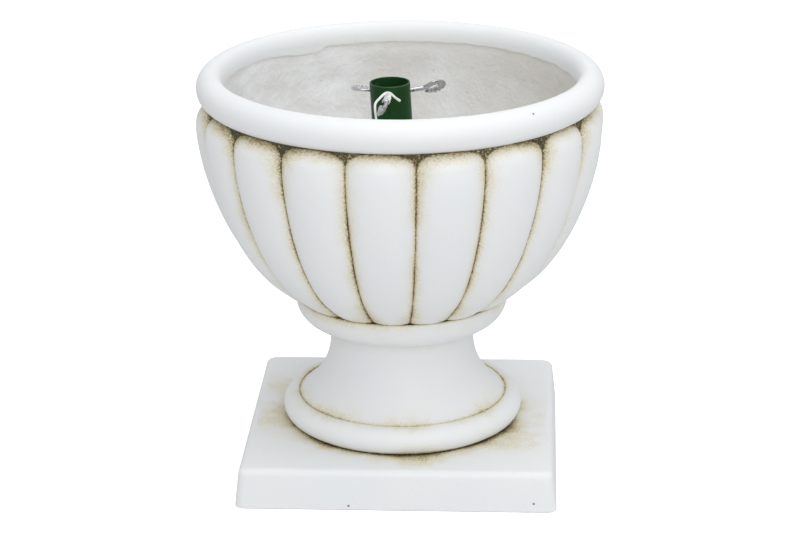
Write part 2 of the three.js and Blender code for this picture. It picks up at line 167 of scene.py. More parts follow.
def new_tree(kind, name, takes, gives):
    """A node group with named sockets, {label: (type, default)}, its inputs as fields by label,
    and its output node."""
    tree = bpy.data.node_groups.new(name, kind)
    for in_out, sockets in (("INPUT", takes), ("OUTPUT", gives)):
        for label, (socket_type, default) in sockets.items():
            kind_of_socket = "NodeSocket" + socket_type
            socket = tree.interface.new_socket(label, in_out=in_out, socket_type=kind_of_socket)
            if default is not None:
                socket.default_value = default
    entry = tree.nodes.new("NodeGroupInput")
    given = {socket.name: Field(tree, socket) for socket in entry.outputs if socket.name}
    return tree, given, tree.nodes.new("NodeGroupOutput")


# %% [markdown]
# ## Light and floor
#
# The photograph has one large soft white all round. A bright world gives that evenly, and it grows
# brighter overhead, so the rim is the brightest part and what faces down is a little darker. The
# camera itself sees the world as pure white: a Light Path node keeps what is seen apart from what
# lights the urn.

# %% A white world that is brighter overhead
LEVEL_LIGHT, SKY_LIGHT = 0.54, 0.42  # of the surroundings at eye height, and added to it overhead
LIGHT_COLOUR = (0.985, 0.992, 1.0, 1)
PURE_WHITE = (1.0, 1.0, 1.0, 1)

world = bpy.data.worlds.new("white_studio")
scene.world = world
world.use_nodes = True
studio = world.node_tree
studio.nodes.clear()
direction = add(studio, "ShaderNodeTexCoord").outputs["Generated"]
upward = add(studio, "ShaderNodeSeparateXYZ", {0: direction}).outputs["Z"]
brighter = add(studio, "ShaderNodeMapRange", {
    "Value": upward, "To Min": LEVEL_LIGHT, "To Max": LEVEL_LIGHT + SKY_LIGHT,
})
lighting = add(studio, "ShaderNodeBackground", {"Color": LIGHT_COLOUR, "Strength": brighter.outputs[0]})
seen = add(studio, "ShaderNodeBackground", {"Color": PURE_WHITE, "Strength": 1.0})
to_camera = add(studio, "ShaderNodeLightPath").outputs["Is Camera Ray"]
either = add(studio, "ShaderNodeMixShader", {"Fac": to_camera, 1: lighting.outputs[0], 2: seen.outputs[0]})
add(studio, "ShaderNodeOutputWorld", {"Surface": either.outputs[0]})
print("world: strength", LEVEL_LIGHT, "at eye height,", LEVEL_LIGHT + SKY_LIGHT, "overhead")

# %% [markdown]
# Two wide lamps add a little shape: one overhead, off to the right, and one in front that lights the
# faces towards the camera. They are large, so their shadows have no hard edge.

# %% Two soft lamps


def softbox(name, place, aim, size, power):
    """A square area lamp at a place, turned to face another."""
    lamp = bpy.data.objects.new(name, bpy.data.lights.new(name, "AREA"))
    lamp.data.shape, lamp.data.size = "SQUARE", size
    lamp.data.energy = power
    lamp.location = place
    lamp.rotation_euler = (Vector(aim) - Vector(place)).to_track_quat("-Z", "Y").to_euler()
    scene.collection.objects.link(lamp)
    print("lamp", name, "-", power, "W,", size, "m wide")


softbox("overhead", (0.5, -0.4, 2.4), (0, 0, 0.3), 2.2, 18)
softbox("front", (0.5, -3.0, 1.2), (0, 0, 0.1), 1.8, 22)

# %% [markdown]
# The floor has to vanish into the background. A white floor would do that, but it would also throw
# much light up under the bowl. This one is a pale grey that glows for the camera alone, so it looks
# white and its bounce light stays weak.

# %% A pale floor
FLOOR_SIZE = 12
FLOOR_GREY = 0.70
FLOOR_GLOW = 0.7

half = FLOOR_SIZE / 2
floor_corners = [(-half, -half, 0), (half, -half, 0), (half, half, 0), (-half, half, 0)]
floor_mesh = bpy.data.meshes.new("floor")
floor_mesh.from_pydata(floor_corners, [], [(0, 1, 2, 3)])
floor = bpy.data.objects.new("floor", floor_mesh)
scene.collection.objects.link(floor)
white_floor = bpy.data.materials.new("white_floor")
white_floor.use_nodes = True
tree = white_floor.node_tree
paper = tree.nodes["Principled BSDF"]
paper.inputs["Base Color"].default_value = (FLOOR_GREY, FLOOR_GREY, FLOOR_GREY, 1)
paper.inputs["Roughness"].default_value = 0.9
paper.inputs["Emission Color"].default_value = PURE_WHITE
to_camera = Field(tree, add(tree, "ShaderNodeLightPath").outputs["Is Camera Ray"])
feed(tree, paper.inputs["Emission Strength"], to_camera * FLOOR_GLOW)
floor.data.materials.append(white_floor)
print("floor:", FLOOR_SIZE, "m square")

# %% [markdown]
# ## One tree for everything that is turned
#
# Bowl, pedestal, tube, bolts, nuts and washers all come from a profile that goes once round an
# axis. A spin would make them round and no more. The tree below reads a profile of points that carry
# a few numbers each, spreads it over a grid, and bends the grid by a rule, so a lobe, a flat or a
# thread is only a change of radius. The numbers travel along and tell the finish how far each spot
# is from a groove or a crease. First come the words that its rules are written in.

# %% A line of points as a grid
NAMED_NUMBER = "GeometryNodeInputNamedAttribute"


class Rows:
    """A line of points laid out as a grid: one row for each point, so many columns."""

    def __init__(self, tree, line, columns):
        self.tree, self.line = tree, line
        size = add(tree, "GeometryNodeAttributeDomainSize", {"Geometry": line})
        inputs = {"Vertices X": Field(tree, size.outputs["Point Count"]), "Vertices Y": columns + 1}
        self.mesh = add(tree, "GeometryNodeMeshGrid", inputs).outputs["Mesh"]
        index = Field(tree, tree.nodes.new("GeometryNodeInputIndex").outputs[0])
        self.row = (index / (columns + 1)).math("FLOOR")
        self.column = index - self.row * (columns + 1)

    def read(self, value, data_type, ahead=0):
        """The line's own value at this row, or some rows ahead."""
        whole = add(self.tree, "FunctionNodeFloatToInt", {0: self.row + ahead}, rounding_mode="ROUND")
        inputs = {"Geometry": self.line, "Value": value, "Index": whole.outputs[0]}
        sample = add(self.tree, "GeometryNodeSampleIndex", inputs,
                     data_type=data_type, domain="POINT", clamp=True)
        return sample.outputs["Value"]

    def number(self, name):
        """A number that the line's points carry."""
        named = add(self.tree, NAMED_NUMBER, {"Name": name}, data_type="FLOAT")
        return Field(self.tree, self.read(named.outputs["Attribute"], "FLOAT"))

    def direction(self, name):
        """A direction that the line's points carry."""
        named = add(self.tree, NAMED_NUMBER, {"Name": name}, data_type="FLOAT_VECTOR")
        return self.read(named.outputs["Attribute"], "FLOAT_VECTOR")

    def place(self, ahead=0):
        return self.read(self.tree.nodes.new("GeometryNodeInputPosition").outputs[0], "FLOAT_VECTOR", ahead)


# %% Words for vectors, noise and threads


def vectors(tree, operation, first, second):
    """Vector arithmetic; a scale takes a number as its second."""
    inputs = {0: first, 3 if operation == "SCALE" else 1: second}
    return add(tree, "ShaderNodeVectorMath", inputs, operation=operation).outputs[0]


def vector(tree, x, y, z):
    return add(tree, "ShaderNodeCombineXYZ", {0: x, 1: y, 2: z}).outputs[0]


def noise(tree, at, feature, detail=2.0, rough=0.5):
    """Noise with features of a size in metres; its value and its colour, both about 0.5."""
    scaled = vectors(tree, "SCALE", at, feature ** -1)
    inputs = {"Vector": scaled, "Scale": 1.0, "Detail": detail, "Roughness": rough}
    node = add(tree, "ShaderNodeTexNoise", inputs)
    return Field(tree, node.outputs[0]), node.outputs[1]


def shake(tree, at, colour, amount):
    """A point moved by up to an amount each way, as a noise colour says."""
    centred = vectors(tree, "SUBTRACT", colour, (0.5, 0.5, 0.5))
    return vectors(tree, "ADD", at, vectors(tree, "SCALE", centred, amount * 2))


def thread(tree, height, angle, pitch):
    """A V thread along a height: 0 at its crests, 1 at its roots."""
    winding = height / pitch + angle / (2 * math.pi)
    return (winding - winding.math("FLOOR") - 0.5).math("ABSOLUTE") * 2


# %% [markdown]
# Both trees that make a skin end alike. The grid is moved into place, the numbers are stored for the
# finish, and the points of its seam are merged. Realize Instances stands before the material,
# because an export drops what is only an instance.

# %% The end of a tree
SEAM_GAP = 2e-6  # metres: points that are closer become one


def finished(tree, tree_out, shape, position, kept, material):
    """Moves the grid into place, stores numbers for the finish, closes the seams and shades it."""
    shape = add(tree, "GeometryNodeSetPosition", {"Geometry": shape, "Position": position}).outputs[0]
    for name, value in kept.items():
        inputs = {"Geometry": shape, "Name": name, "Value": value}
        store = add(tree, "GeometryNodeStoreNamedAttribute", inputs, data_type="FLOAT", domain="POINT")
        shape = store.outputs[0]
    for kind, inputs in (
        ("GeometryNodeMergeByDistance", {"Distance": SEAM_GAP}),
        ("GeometryNodeFlipFaces", {}),
        ("GeometryNodeSetShadeSmooth", {}),
        ("GeometryNodeRealizeInstances", {}),
        ("GeometryNodeSetMaterial", {"Material": material}),
    ):
        shape = add(tree, kind, {0: shape, **inputs}).outputs[0]
    feed(tree, tree_out.inputs["Geometry"], shape)
    print(tree.name, "-", len(tree.nodes), "nodes")


# %% [markdown]
# The inputs of the tree are the sizes that a maker would ask for. A piece that isn't lobed, flat or
# threaded leaves those inputs alone, and their first values do nothing.

# %% Geometry tree: a turned piece, its inputs
turned, given, turned_out = new_tree(
    "GeometryNodeTree",
    "Turned piece",
    {
        "Geometry": ("Geometry", None),
        "Lobes": ("Int", 1),
        "Steps per Lobe": ("Int", 48),
        "Turn": ("Float", 0.0),
        "Groove Depth": ("Float", 0.0),
        "Fullness": ("Float", 0.82),
        "Arch Power": ("Float", 3.0),
        "Gather": ("Float", 0.0),
        "Flats Width": ("Float", 1.0),
        "Thread Pitch": ("Float", 0.001),
        "Thread Depth": ("Float", 0.0),
        "Lumps": ("Float", 0.0),
        "Lump Size": ("Float", 0.03),
        "Roughness": ("Float", 0.0),
        "Ragged": ("Float", 0.0),
        "Patch Start": ("Float", 0.0),
        "Patch Width": ("Float", 1.0),
        "Patch Drop": ("Float", 0.0),
        "Material": ("Material", None),
    },
    {"Geometry": ("Geometry", None)},
)
line = Rows(turned, given["Geometry"], given["Lobes"] * given["Steps per Lobe"])
split = add(turned, "ShaderNodeSeparateXYZ", {0: line.place()})
crest, height = Field(turned, split.outputs["X"]), Field(turned, split.outputs["Z"])
print("turned piece:", len(given), "inputs")

# %% [markdown]
# Across one lobe a value runs from -1 at a groove to 1 at the next, and the lobe swells by a part of
# an ellipse, as in the solids. Towards its top a second value grows from 0 to 1 up the profile. A
# power joins the two as it does in a rounded square, so the lobe closes in an arch. The columns
# gather towards the grooves, where the surface turns most.

# %% The lobe rule
FAR = 0.05  # metres: stands for a place with no groove near it

lobe_place = line.column / given["Steps per Lobe"]
lobe = lobe_place.math("FLOOR")
across = (lobe_place - lobe) * 2 - 1
across = across + (across * math.pi).math("SINE") * given["Gather"] / math.pi
angle = given["Turn"] + (lobe * 2 + across) * math.pi / given["Lobes"]
power = given["Arch Power"]
offset = (across.math("ABSOLUTE") ** power + line.number("arch") ** power) ** power ** -1
from_edge = given["Fullness"] * offset.math("MINIMUM", 1.0) ** 2
least = (1 - given["Fullness"]).math("SQRT")
bulge = ((1 - from_edge).math("MAXIMUM", 0.0).math("SQRT") - least) / (1 - least)
lobed = line.number("lobed")
radius = crest * (1 - given["Groove Depth"] * lobed * (1 - bulge))
groove_gap = (1 - offset).math("MAXIMUM", 0.0) * crest * math.pi / given["Lobes"] + (1 - lobed) * FAR

# %% [markdown]
# Six flats are straight lines across the round, so each is a least radius that grows with the angle
# from its middle. A thread is a sawtooth along height and angle. The lumps of a casting are noise
# that moves every point a little, and a rough wall gets two more noises, a coarse and a fine one.

# %% Flats, thread and the lumps that a casting has
COARSE, FINE, FINE_SHARE = 30 * MM, 7 * MM, 0.15
RAGGED_SIZE = 0.09  # of the radius, along a ragged edge
PATCH_EDGE = 14  # the sunk patch starts this many times as sharply as it ends

corner = (angle - given["Turn"]) * 3 / math.pi
flat_angle = (corner - corner.math("FLOOR") - 0.5) * math.pi / 3
radius = radius.math("MINIMUM", given["Flats Width"] * 0.5 / flat_angle.math("COSINE"))
tooth = thread(turned, height, angle, given["Thread Pitch"])
radius = radius - given["Thread Depth"] * line.number("threaded") * tooth

on_unit_circle = vector(turned, angle.math("COSINE"), angle.math("SINE"), 0.0)
jagged = (noise(turned, on_unit_circle, RAGGED_SIZE, 4.0, 0.6)[0] - 0.5) * given["Ragged"] * 2
patch = (angle - given["Patch Start"]) / given["Patch Width"]
sunk = (patch * PATCH_EDGE).clamped() * (1 - patch).clamped()
height = height + line.number("ragged") * (jagged - sunk * given["Patch Drop"])
wall = vector(turned, radius * angle.math("COSINE"), radius * angle.math("SINE"), height)
wall = shake(turned, wall, noise(turned, wall, given["Lump Size"])[1], given["Lumps"])
inside = line.number("inside")
rough = given["Roughness"] * inside
wall = shake(turned, wall, noise(turned, wall, COARSE, 3.0, 0.55)[1], rough)
wall = shake(turned, wall, noise(turned, wall, FINE, 2.0)[1], rough * FINE_SHARE)
kept = {"groove_gap": groove_gap, "crease_gap": line.number("crease_gap"),
        "crease_weight": line.number("crease_weight"), "inside": inside}
finished(turned, turned_out, line.mesh, wall, kept, given["Material"])

# %% [markdown]
# ## A bar that is bent along a line, and a ring of copies
#
# The eye bolts and the tie are bars that follow a line in space. A curve with a bevel would make
# them round everywhere. Here the section is an ellipse, so one tree makes round wire, a flattened eye
# and flat tape: the line's points carry a width, a thickness and the direction in which the bar is
# thin. Threads and pressed ribs swell or cut the section where the points say so.

# %% Geometry tree: a bent bar
SCUFF_SIZE = 4 * MM

bent, given, bent_out = new_tree(
    "GeometryNodeTree",
    "Bent bar",
    {
        "Geometry": ("Geometry", None),
        "Sides": ("Int", 24),
        "Thread Pitch": ("Float", 0.0008),
        "Thread Depth": ("Float", 0.0),
        "Rib Pitch": ("Float", 0.0034),
        "Rib Height": ("Float", 0.0),
        "Roughness": ("Float", 0.0),
        "Material": ("Material", None),
    },
    {"Geometry": ("Geometry", None)},
)
line = Rows(bent, given["Geometry"], given["Sides"])
along = vectors(bent, "SUBTRACT", line.place(1), line.place(-1))
thin = line.direction("thin")
square_to_both = vectors(bent, "CROSS_PRODUCT", along, thin)
wide = add(bent, "ShaderNodeVectorMath", {0: square_to_both}, operation="NORMALIZE").outputs[0]
angle = line.column / given["Sides"] * (-2 * math.pi)
run = line.number("run")
rib = (run / given["Rib Pitch"] * math.pi).math("SINE").math("ABSOLUTE") ** 2
tooth = thread(bent, run, angle, given["Thread Pitch"])
swelling = (rib * line.number("ribbed") * given["Rib Height"]
            - tooth * line.number("threaded") * given["Thread Depth"])
outwards = vectors(bent, "SCALE", wide, (line.number("width") * 0.5 + swelling) * angle.math("COSINE"))
off_face = vectors(bent, "SCALE", thin, (line.number("thickness") * 0.5 + swelling) * angle.math("SINE"))
bar_skin = vectors(bent, "ADD", line.place(), vectors(bent, "ADD", outwards, off_face))
bar_skin = shake(bent, bar_skin, noise(bent, bar_skin, SCUFF_SIZE)[1], given["Roughness"])
finished(bent, bent_out, line.mesh, bar_skin, {"crease_gap": line.number("crease_gap")}, given["Material"])

# %% [markdown]
# The hidden bolts stand in two rings of four. An array modifier would need an empty to turn about,
# so a third tree sets copies on the points of a circle and makes them real.

# %% Geometry tree: a ring of copies
ring, given, ring_out = new_tree(
    "GeometryNodeTree",
    "Ring of copies",
    {
        "Geometry": ("Geometry", None),
        "Copies": ("Int", 4),
        "Circle Radius": ("Float", 0.05),
        "First Angle": ("Float", 0.0),
    },
    {"Geometry": ("Geometry", None)},
)
circle = add(ring, "GeometryNodeMeshCircle", {"Vertices": given["Copies"], "Radius": given["Circle Radius"]})
first_turn = vector(ring, 0.0, 0.0, given["First Angle"])
spots = add(ring, "GeometryNodeTransform", {"Geometry": circle.outputs[0], "Rotation": first_turn})
placed = {"Points": spots.outputs[0], "Instance": given["Geometry"]}
copies = add(ring, "GeometryNodeInstanceOnPoints", placed)
made_real = add(ring, "GeometryNodeRealizeInstances", {0: copies.outputs[0]})
feed(ring, ring_out.inputs["Geometry"], made_real.outputs[0])
print(ring.name, "-", len(ring.nodes), "nodes")

# %% [markdown]
# ## From a tree to a plain mesh
#
# A tree is run as a modifier on a line of points. The evaluated result is then kept as a plain mesh,
# because a finished piece shouldn't depend on its modifiers. Holes and collars are boolean
# modifiers, kept in the same way.

# %% Run a tree and keep the plain mesh
SHARP = 40.0  # degrees: an edge that turns more isn't smoothed


def set_inputs(modifier, values):
    """Sets a tree's inputs on its modifier, by the sockets' identifiers."""
    for item in modifier.node_group.interface.items_tree:
        if item.item_type == "SOCKET" and item.in_out == "INPUT" and item.name in values:
            modifier[item.identifier] = values[item.name]


def plain(obj, name):
    """The evaluated object as a plain mesh object; the one that it came from goes."""
    mesh = bpy.data.meshes.new_from_object(obj.evaluated_get(bpy.context.evaluated_depsgraph_get()))
    mesh.name = name
    old = obj.data
    bpy.data.objects.remove(obj)
    bpy.data.meshes.remove(old)
    piece = bpy.data.objects.new(name, mesh)
    scene.collection.objects.link(piece)
    return piece


def grow(name, points, *steps, sharp=SHARP):
    """Turns or bends a row of points into a piece. Each point is (position, {number: value}),
    and each step is a tree with its inputs."""
    mesh = bpy.data.meshes.new(name + "_line")
    edges = [(i, i + 1) for i in range(len(points) - 1)]
    mesh.from_pydata([position for position, _ in points], edges, [])
    for label in sorted({label for _, numbers in points for label in numbers}):
        if label == "thin":
            attribute = mesh.attributes.new(label, "FLOAT_VECTOR", "POINT")
            flat = [part for _, numbers in points for part in numbers[label]]
            attribute.data.foreach_set("vector", flat)
        else:
            attribute = mesh.attributes.new(label, "FLOAT", "POINT")
            attribute.data.foreach_set("value", [numbers.get(label, 0.0) for _, numbers in points])
    starting_line = bpy.data.objects.new(name + "_line", mesh)
    scene.collection.objects.link(starting_line)
    for step_tree, values in steps:
        modifier = starting_line.modifiers.new(step_tree.name, "NODES")
        modifier.node_group = step_tree
        set_inputs(modifier, values)
    piece = plain(starting_line, name)
    piece.data.set_sharp_from_angle(angle=math.radians(sharp))
    return piece


# %% [markdown]
# A piece that is done is hung on the body that it moves with, and the solids of the frame that it
# stands for are hidden.

# %% Booleans, and handing a piece over


def booled(piece, *tools):
    """Adds or cuts tools, given as (operation, tool object), and keeps the plain mesh."""
    for operation, tool in tools:
        modifier = piece.modifiers.new(tool.name, "BOOLEAN")
        modifier.operation, modifier.object, modifier.solver = operation, tool, "EXACT"
    name = piece.name
    piece.name = name + "_blank"
    result = plain(piece, name)
    for _, tool in tools:
        mesh = tool.data
        bpy.data.objects.remove(tool)
        bpy.data.meshes.remove(mesh)
    result.data.set_sharp_from_angle(angle=math.radians(SHARP))
    return result


def settle(piece, body, slot, *nodes):
    """Gives a finished piece its body and hides the solids that it stands for; the slot is not used."""
    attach(piece, body)
    if nodes:
        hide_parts(*nodes)
    triangles = sum(len(p.vertices) - 2 for p in piece.data.polygons)
    print(piece.name, "-", triangles, "triangles, on", body)


# %% [markdown]
# ## Finishes
#
# Cast composite is a bright, slightly cool white with a satin skin. A brown wash was brushed on and
# wiped off, so it stays in the grooves: nearly black in the deepest line, khaki and speckled next to
# it, and a soft cream stain further out. That stain is painted wider than the wash alone, so it also
# paints the shade deep in the grooves. An image would have to be painted for every piece. Here the
# surface knows how far it is from the nearest groove or crease, so the wash is painted by distance
# and broken up with noise. Grain and specks are used by several finishes, so each is a group.

# %% Words for materials


def group(tree, made, output, **values):
    """Places a node group in a material and gives one of its outputs."""
    node = tree.nodes.new("ShaderNodeGroup")
    node.node_tree = made
    for label, value in values.items():
        feed(tree, node.inputs[label.replace("_", " ")], value)
    return Field(tree, node.outputs[output])


def mix(tree, factor, first, second):
    """One colour over another."""
    return add(tree, "ShaderNodeMix", {0: factor, 6: first, 7: second}, data_type="RGBA").outputs[2]


def blank(name):
    """A material with its tree and its Principled BSDF."""
    material = bpy.data.materials.new(name)
    material.use_nodes = True
    return material, material.node_tree, material.node_tree.nodes["Principled BSDF"]


def carried(tree, name):
    """A number that the mesh carries."""
    return Field(tree, add(tree, "ShaderNodeAttribute", attribute_name=name).outputs["Fac"])


def bump(tree, height, distance):
    return add(tree, "ShaderNodeBump", {"Height": height, "Distance": distance}).outputs["Normal"]


# %% Groups: grain and specks
grain, given, grain_out = new_tree(
    "ShaderNodeTree",
    "Grain",
    {"Size": ("Float", 0.001), "Detail": ("Float", 3.0)},
    {"Value": ("Float", None), "Centred": ("Float", None)},
)
spot = add(grain, "ShaderNodeTexCoord").outputs["Object"]
value = noise(grain, spot, given["Size"], given["Detail"])[0]
feed(grain, grain_out.inputs["Value"], value)
feed(grain, grain_out.inputs["Centred"], value * 2 - 1)
print(grain.name, "-", len(grain.nodes), "nodes")

specks, given, specks_out = new_tree(
    "ShaderNodeTree",
    "Specks",
    {"Spacing": ("Float", 0.02), "Size": ("Float", 0.0005), "Share": ("Float", 0.3)},
    {"Mask": ("Float", None)},
)
spot = add(specks, "ShaderNodeTexCoord").outputs["Object"]
cells = add(specks, "ShaderNodeTexVoronoi", {"Vector": spot, "Scale": given["Spacing"] ** -1})
near = 1 - Field(specks, cells.outputs["Distance"]) * given["Spacing"] / given["Size"]
chance = Field(specks, add(specks, "ShaderNodeSeparateColor", {0: cells.outputs["Color"]}).outputs[0])
chosen = ((given["Share"] - chance) * 100).clamped()
feed(specks, specks_out.inputs["Mask"], (near * 2).clamped() * chosen)
print(specks.name, "-", len(specks.nodes), "nodes")

# %% [markdown]
# The wash has two parts on the real urn. A stain spreads from each groove and crease, and is wider
# where the two meet, because a cloth can't wipe there. On top of it lies a thin dark line in the
# very bottom. This group also paints shade: the grooves' stain is made wider than the wash to paint
# the shade of their depth, the faint line at the step inside the rim is painted shadow, and the
# crease under the collar is partly painted shade. A broad noise varies both from place to place, and
# a fine one breaks them into specks.

# %% Group: the brown wash and painted shade, by distance from grooves and creases
BROAD, PATCHY, SPECKLED = 45 * MM, 12 * MM, 1.8 * MM  # sizes of the noises that break it up
POCKET_REACH = 30 * MM  # from a crease, as far as grooves are stained more
GROOVE_STAIN_AND_SHADE_WIDTH, POCKET_STAIN_WIDTH, CREASE_STAIN_WIDTH = 4.6 * MM, 3.6 * MM, 7.5 * MM
GROOVE_STAIN_AND_SHADE, POCKET_STAIN, CREASE_STAIN, MOST_STAIN = 0.32, 0.24, 0.34, 0.46
GROOVE_LINE_WIDTH, CREASE_LINE_WIDTH = 0.8 * MM, 1.0 * MM

wash, given, wash_out = new_tree(
    "ShaderNodeTree",
    "Brown wash and painted shade",
    {"Groove": ("Float", 0.05), "Crease": ("Float", 0.05), "Crease Weight": ("Float", 0.0)},
    {"Amount": ("Float", None)},
)
groove, crease, weight = given["Groove"], given["Crease"], given["Crease Weight"]
broad = group(wash, grain, "Value", Size=BROAD, Detail=2.0)
patchy = group(wash, grain, "Value", Size=PATCHY, Detail=3.0)
speckled = group(wash, grain, "Value", Size=SPECKLED, Detail=3.0)
uneven = ((broad - 0.3) * 2.4).clamped(0.25, 1.5)
pocket = crease.fading(POCKET_REACH)
# The groove stain is made wide enough to paint the shade of the grooves' depth as well as the wash.
groove_width = (pocket * POCKET_STAIN_WIDTH + GROOVE_STAIN_AND_SHADE_WIDTH) * (patchy + 0.5)
crease_width = (patchy * 1.4 + 0.2) * CREASE_STAIN_WIDTH
groove_stain_and_shade = groove.fading(groove_width) * (uneven + 0.2) * (pocket * POCKET_STAIN + GROOVE_STAIN_AND_SHADE)
# At some creases this paints shade rather than wash: the step inside the rim, and in part the stem's top
# under the collar.
crease_stain_and_shade = crease.fading(crease_width) * uneven * weight * CREASE_STAIN
stain_and_shade = (groove_stain_and_shade + crease_stain_and_shade).clamped(0.0, MOST_STAIN)
groove_line = groove.fading(GROOVE_LINE_WIDTH) * (uneven * 0.3 + 0.5)
crease_line_and_shade = crease.fading(CREASE_LINE_WIDTH) * weight * (patchy * 0.6 + 0.2)
total = stain_and_shade + groove_line.math("MAXIMUM", crease_line_and_shade)
broken = total * (speckled * 2.6 - 0.35).clamped(0.45, 1.45)
feed(wash, wash_out.inputs["Amount"], broken.clamped())
print(wash.name, "-", len(wash.nodes), "nodes")

# %% [markdown]
# The casting's skin has three layers. Outside it is a mottled white with a few pinholes, which air
# bubbles leave in the mould. Inside it is rougher and greyer, smeared level by hand, with warm patches
# at random, painted darker and warmer towards the right as shade, and dented. The wash lies over both,
# and one colour ramp turns its amount into a colour.

# %% Material: the white casting, outside
COOL_WHITE, CHALK_WHITE = (0.775, 0.80, 0.82, 1), (0.82, 0.825, 0.825, 1)
PIT_BROWN = (0.12, 0.11, 0.10, 1)
PINHOLES = ((128.7 * MM, -149.1 * MM, 8.8 * MM), (-43.3 * MM, -149.5 * MM, 4.3 * MM),
            (124.8 * MM, -138.6 * MM, 381.2 * MM))
PINHOLE_SIZE = 1.3 * MM

white_casting, tree, skin = blank("white_casting")
place = add(tree, "ShaderNodeTexCoord").outputs["Object"]
cloudy = group(tree, grain, "Value", Size=90 * MM, Detail=3.0)
pits = group(tree, specks, "Mask", Spacing=35 * MM, Size=0.55 * MM, Share=0.35)
for hole in PINHOLES:
    apart = add(tree, "ShaderNodeVectorMath", {0: place, 1: hole}, operation="DISTANCE")
    share = 1 - Field(tree, apart.outputs["Value"]) / PINHOLE_SIZE
    pits = pits.math("MAXIMUM", (share * 2.5).clamped())
outside = mix(tree, pits * 0.85, mix(tree, cloudy, COOL_WHITE, CHALK_WHITE), PIT_BROWN)
print("white casting:", len(PINHOLES), "pinholes at known places")

# %% Material: the white casting, inside
SMEAR_SIZE, SMEAR_FLATNESS = 50 * MM, 2.2
THIN_SMEAR, THICK_SMEAR = (0.79, 0.79, 0.785, 1), (0.91, 0.92, 0.925, 1)
WARM_PATCH_AND_SHADE, DENT_GREY = (0.74, 0.715, 0.67, 1), (0.35, 0.34, 0.33, 1)

hollow = carried(tree, "inside")
flattened = add(tree, "ShaderNodeMapping", {"Vector": place, "Scale": (1, 1, SMEAR_FLATNESS)})
smear = noise(tree, flattened.outputs[0], SMEAR_SIZE, 5.0, 0.62)[0]
rough_wall = mix(tree, ((smear - 0.38) * 3.6).clamped(), THIN_SMEAR, THICK_SMEAR)
shade_to_right = Field(tree, add(tree, "ShaderNodeSeparateXYZ", {0: place}).outputs["X"])
warm = group(tree, grain, "Value", Size=110 * MM, Detail=2.0)
# Warm patches at random, and towards +X the wall is painted darker and warmer: painted shade on the right
# side of the inside.
rough_wall = mix(tree, ((warm - 0.42) * 3 + shade_to_right * 6).clamped(), rough_wall, WARM_PATCH_AND_SHADE)
dents = group(tree, specks, "Mask", Spacing=18 * MM, Size=1.1 * MM, Share=0.4)
rough_wall = mix(tree, dents * 0.35, rough_wall, DENT_GREY)
print("white casting: smears of", SMEAR_SIZE / MM, "mm inside")

# %% Material: the wash over both, and the casting's skin
WASH_TONES = ((0.0, (0.80, 0.80, 0.78)), (0.2, (0.71, 0.67, 0.53)), (0.45, (0.46, 0.385, 0.215)),
              (0.75, (0.18, 0.145, 0.065)), (1.0, (0.062, 0.056, 0.026)))
SKIN_DEPTH = 0.35 * MM

amount = group(tree, wash, "Amount", Groove=carried(tree, "groove_gap"),
               Crease=carried(tree, "crease_gap"), Crease_Weight=carried(tree, "crease_weight"))
tones = add(tree, "ShaderNodeValToRGB", {0: amount})
ramp = tones.color_ramp
for stop, (position, colour) in enumerate(WASH_TONES):
    element = ramp.elements[stop] if stop < 2 else ramp.elements.new(position)
    element.position, element.color = position, (*colour, 1)
bare = mix(tree, hollow, outside, rough_wall)
feed(tree, skin.inputs["Base Color"], mix(tree, (amount * 9).clamped(), bare, tones.outputs[0]))
feed(tree, skin.inputs["Roughness"], (amount * 0.25 + hollow * 0.22 + 0.46 + cloudy * 0.08).clamped())
small_grain = group(tree, grain, "Centred", Size=3.5 * MM, Detail=4.0)
large_grain = group(tree, grain, "Centred", Size=14 * MM, Detail=3.0)
dry_wash = group(tree, grain, "Centred", Size=1.2 * MM, Detail=2.0)
surface = (small_grain * (hollow * 0.5 + 0.25) + large_grain * (hollow * 3.0 + 0.25)
           - (pits + dents * hollow) * 1.2 + amount * dry_wash * 0.5)
feed(tree, skin.inputs["Normal"], bump(tree, surface, SKIN_DEPTH))
skin.inputs["Specular IOR Level"].default_value = 0.45
print("white casting:", len(tree.nodes), "nodes,", len(WASH_TONES), "tones of wash")

# %% [markdown]
# ## Metal and plastic finishes
#
# The tube has a coat of dark green paint with a little orange peel. Its cut end is worn to a greyer
# line. The screws are bright zinc, with the faint frost that plating has, and the sleeves are brass.
# The tie is soft white plastic over a wire, and lets a little light in.

# %% Material: green paint
DEEP_GREEN, LIGHT_GREEN = (0.008, 0.044, 0.010, 1), (0.015, 0.062, 0.016, 1)
DUSTY_GREEN, WORN_GREEN = (0.10, 0.14, 0.09, 1), (0.19, 0.25, 0.19, 1)
WORN_WIDTH = 0.5 * MM

green_paint, tree, skin = blank("green_paint")
peel = group(tree, grain, "Centred", Size=1.3 * MM, Detail=2.0)
tint = group(tree, grain, "Value", Size=20 * MM, Detail=3.0)
dust = group(tree, specks, "Mask", Spacing=9 * MM, Size=0.5 * MM, Share=0.25)
painted = mix(tree, dust * 0.5, mix(tree, tint, DEEP_GREEN, LIGHT_GREEN), DUSTY_GREEN)
worn = carried(tree, "crease_gap").fading(WORN_WIDTH) * ((tint - 0.2) * 2).clamped()
feed(tree, skin.inputs["Base Color"], mix(tree, worn * 0.6, painted, WORN_GREEN))
feed(tree, skin.inputs["Roughness"], (tint * 0.16 + 0.30 + worn * 0.2 + dust * 0.2).clamped())
feed(tree, skin.inputs["Normal"], bump(tree, peel - dust, 0.06 * MM))
skin.inputs["Specular IOR Level"].default_value = 0.14
print("green paint:", len(tree.nodes), "nodes")

# %% Materials: zinc and brass


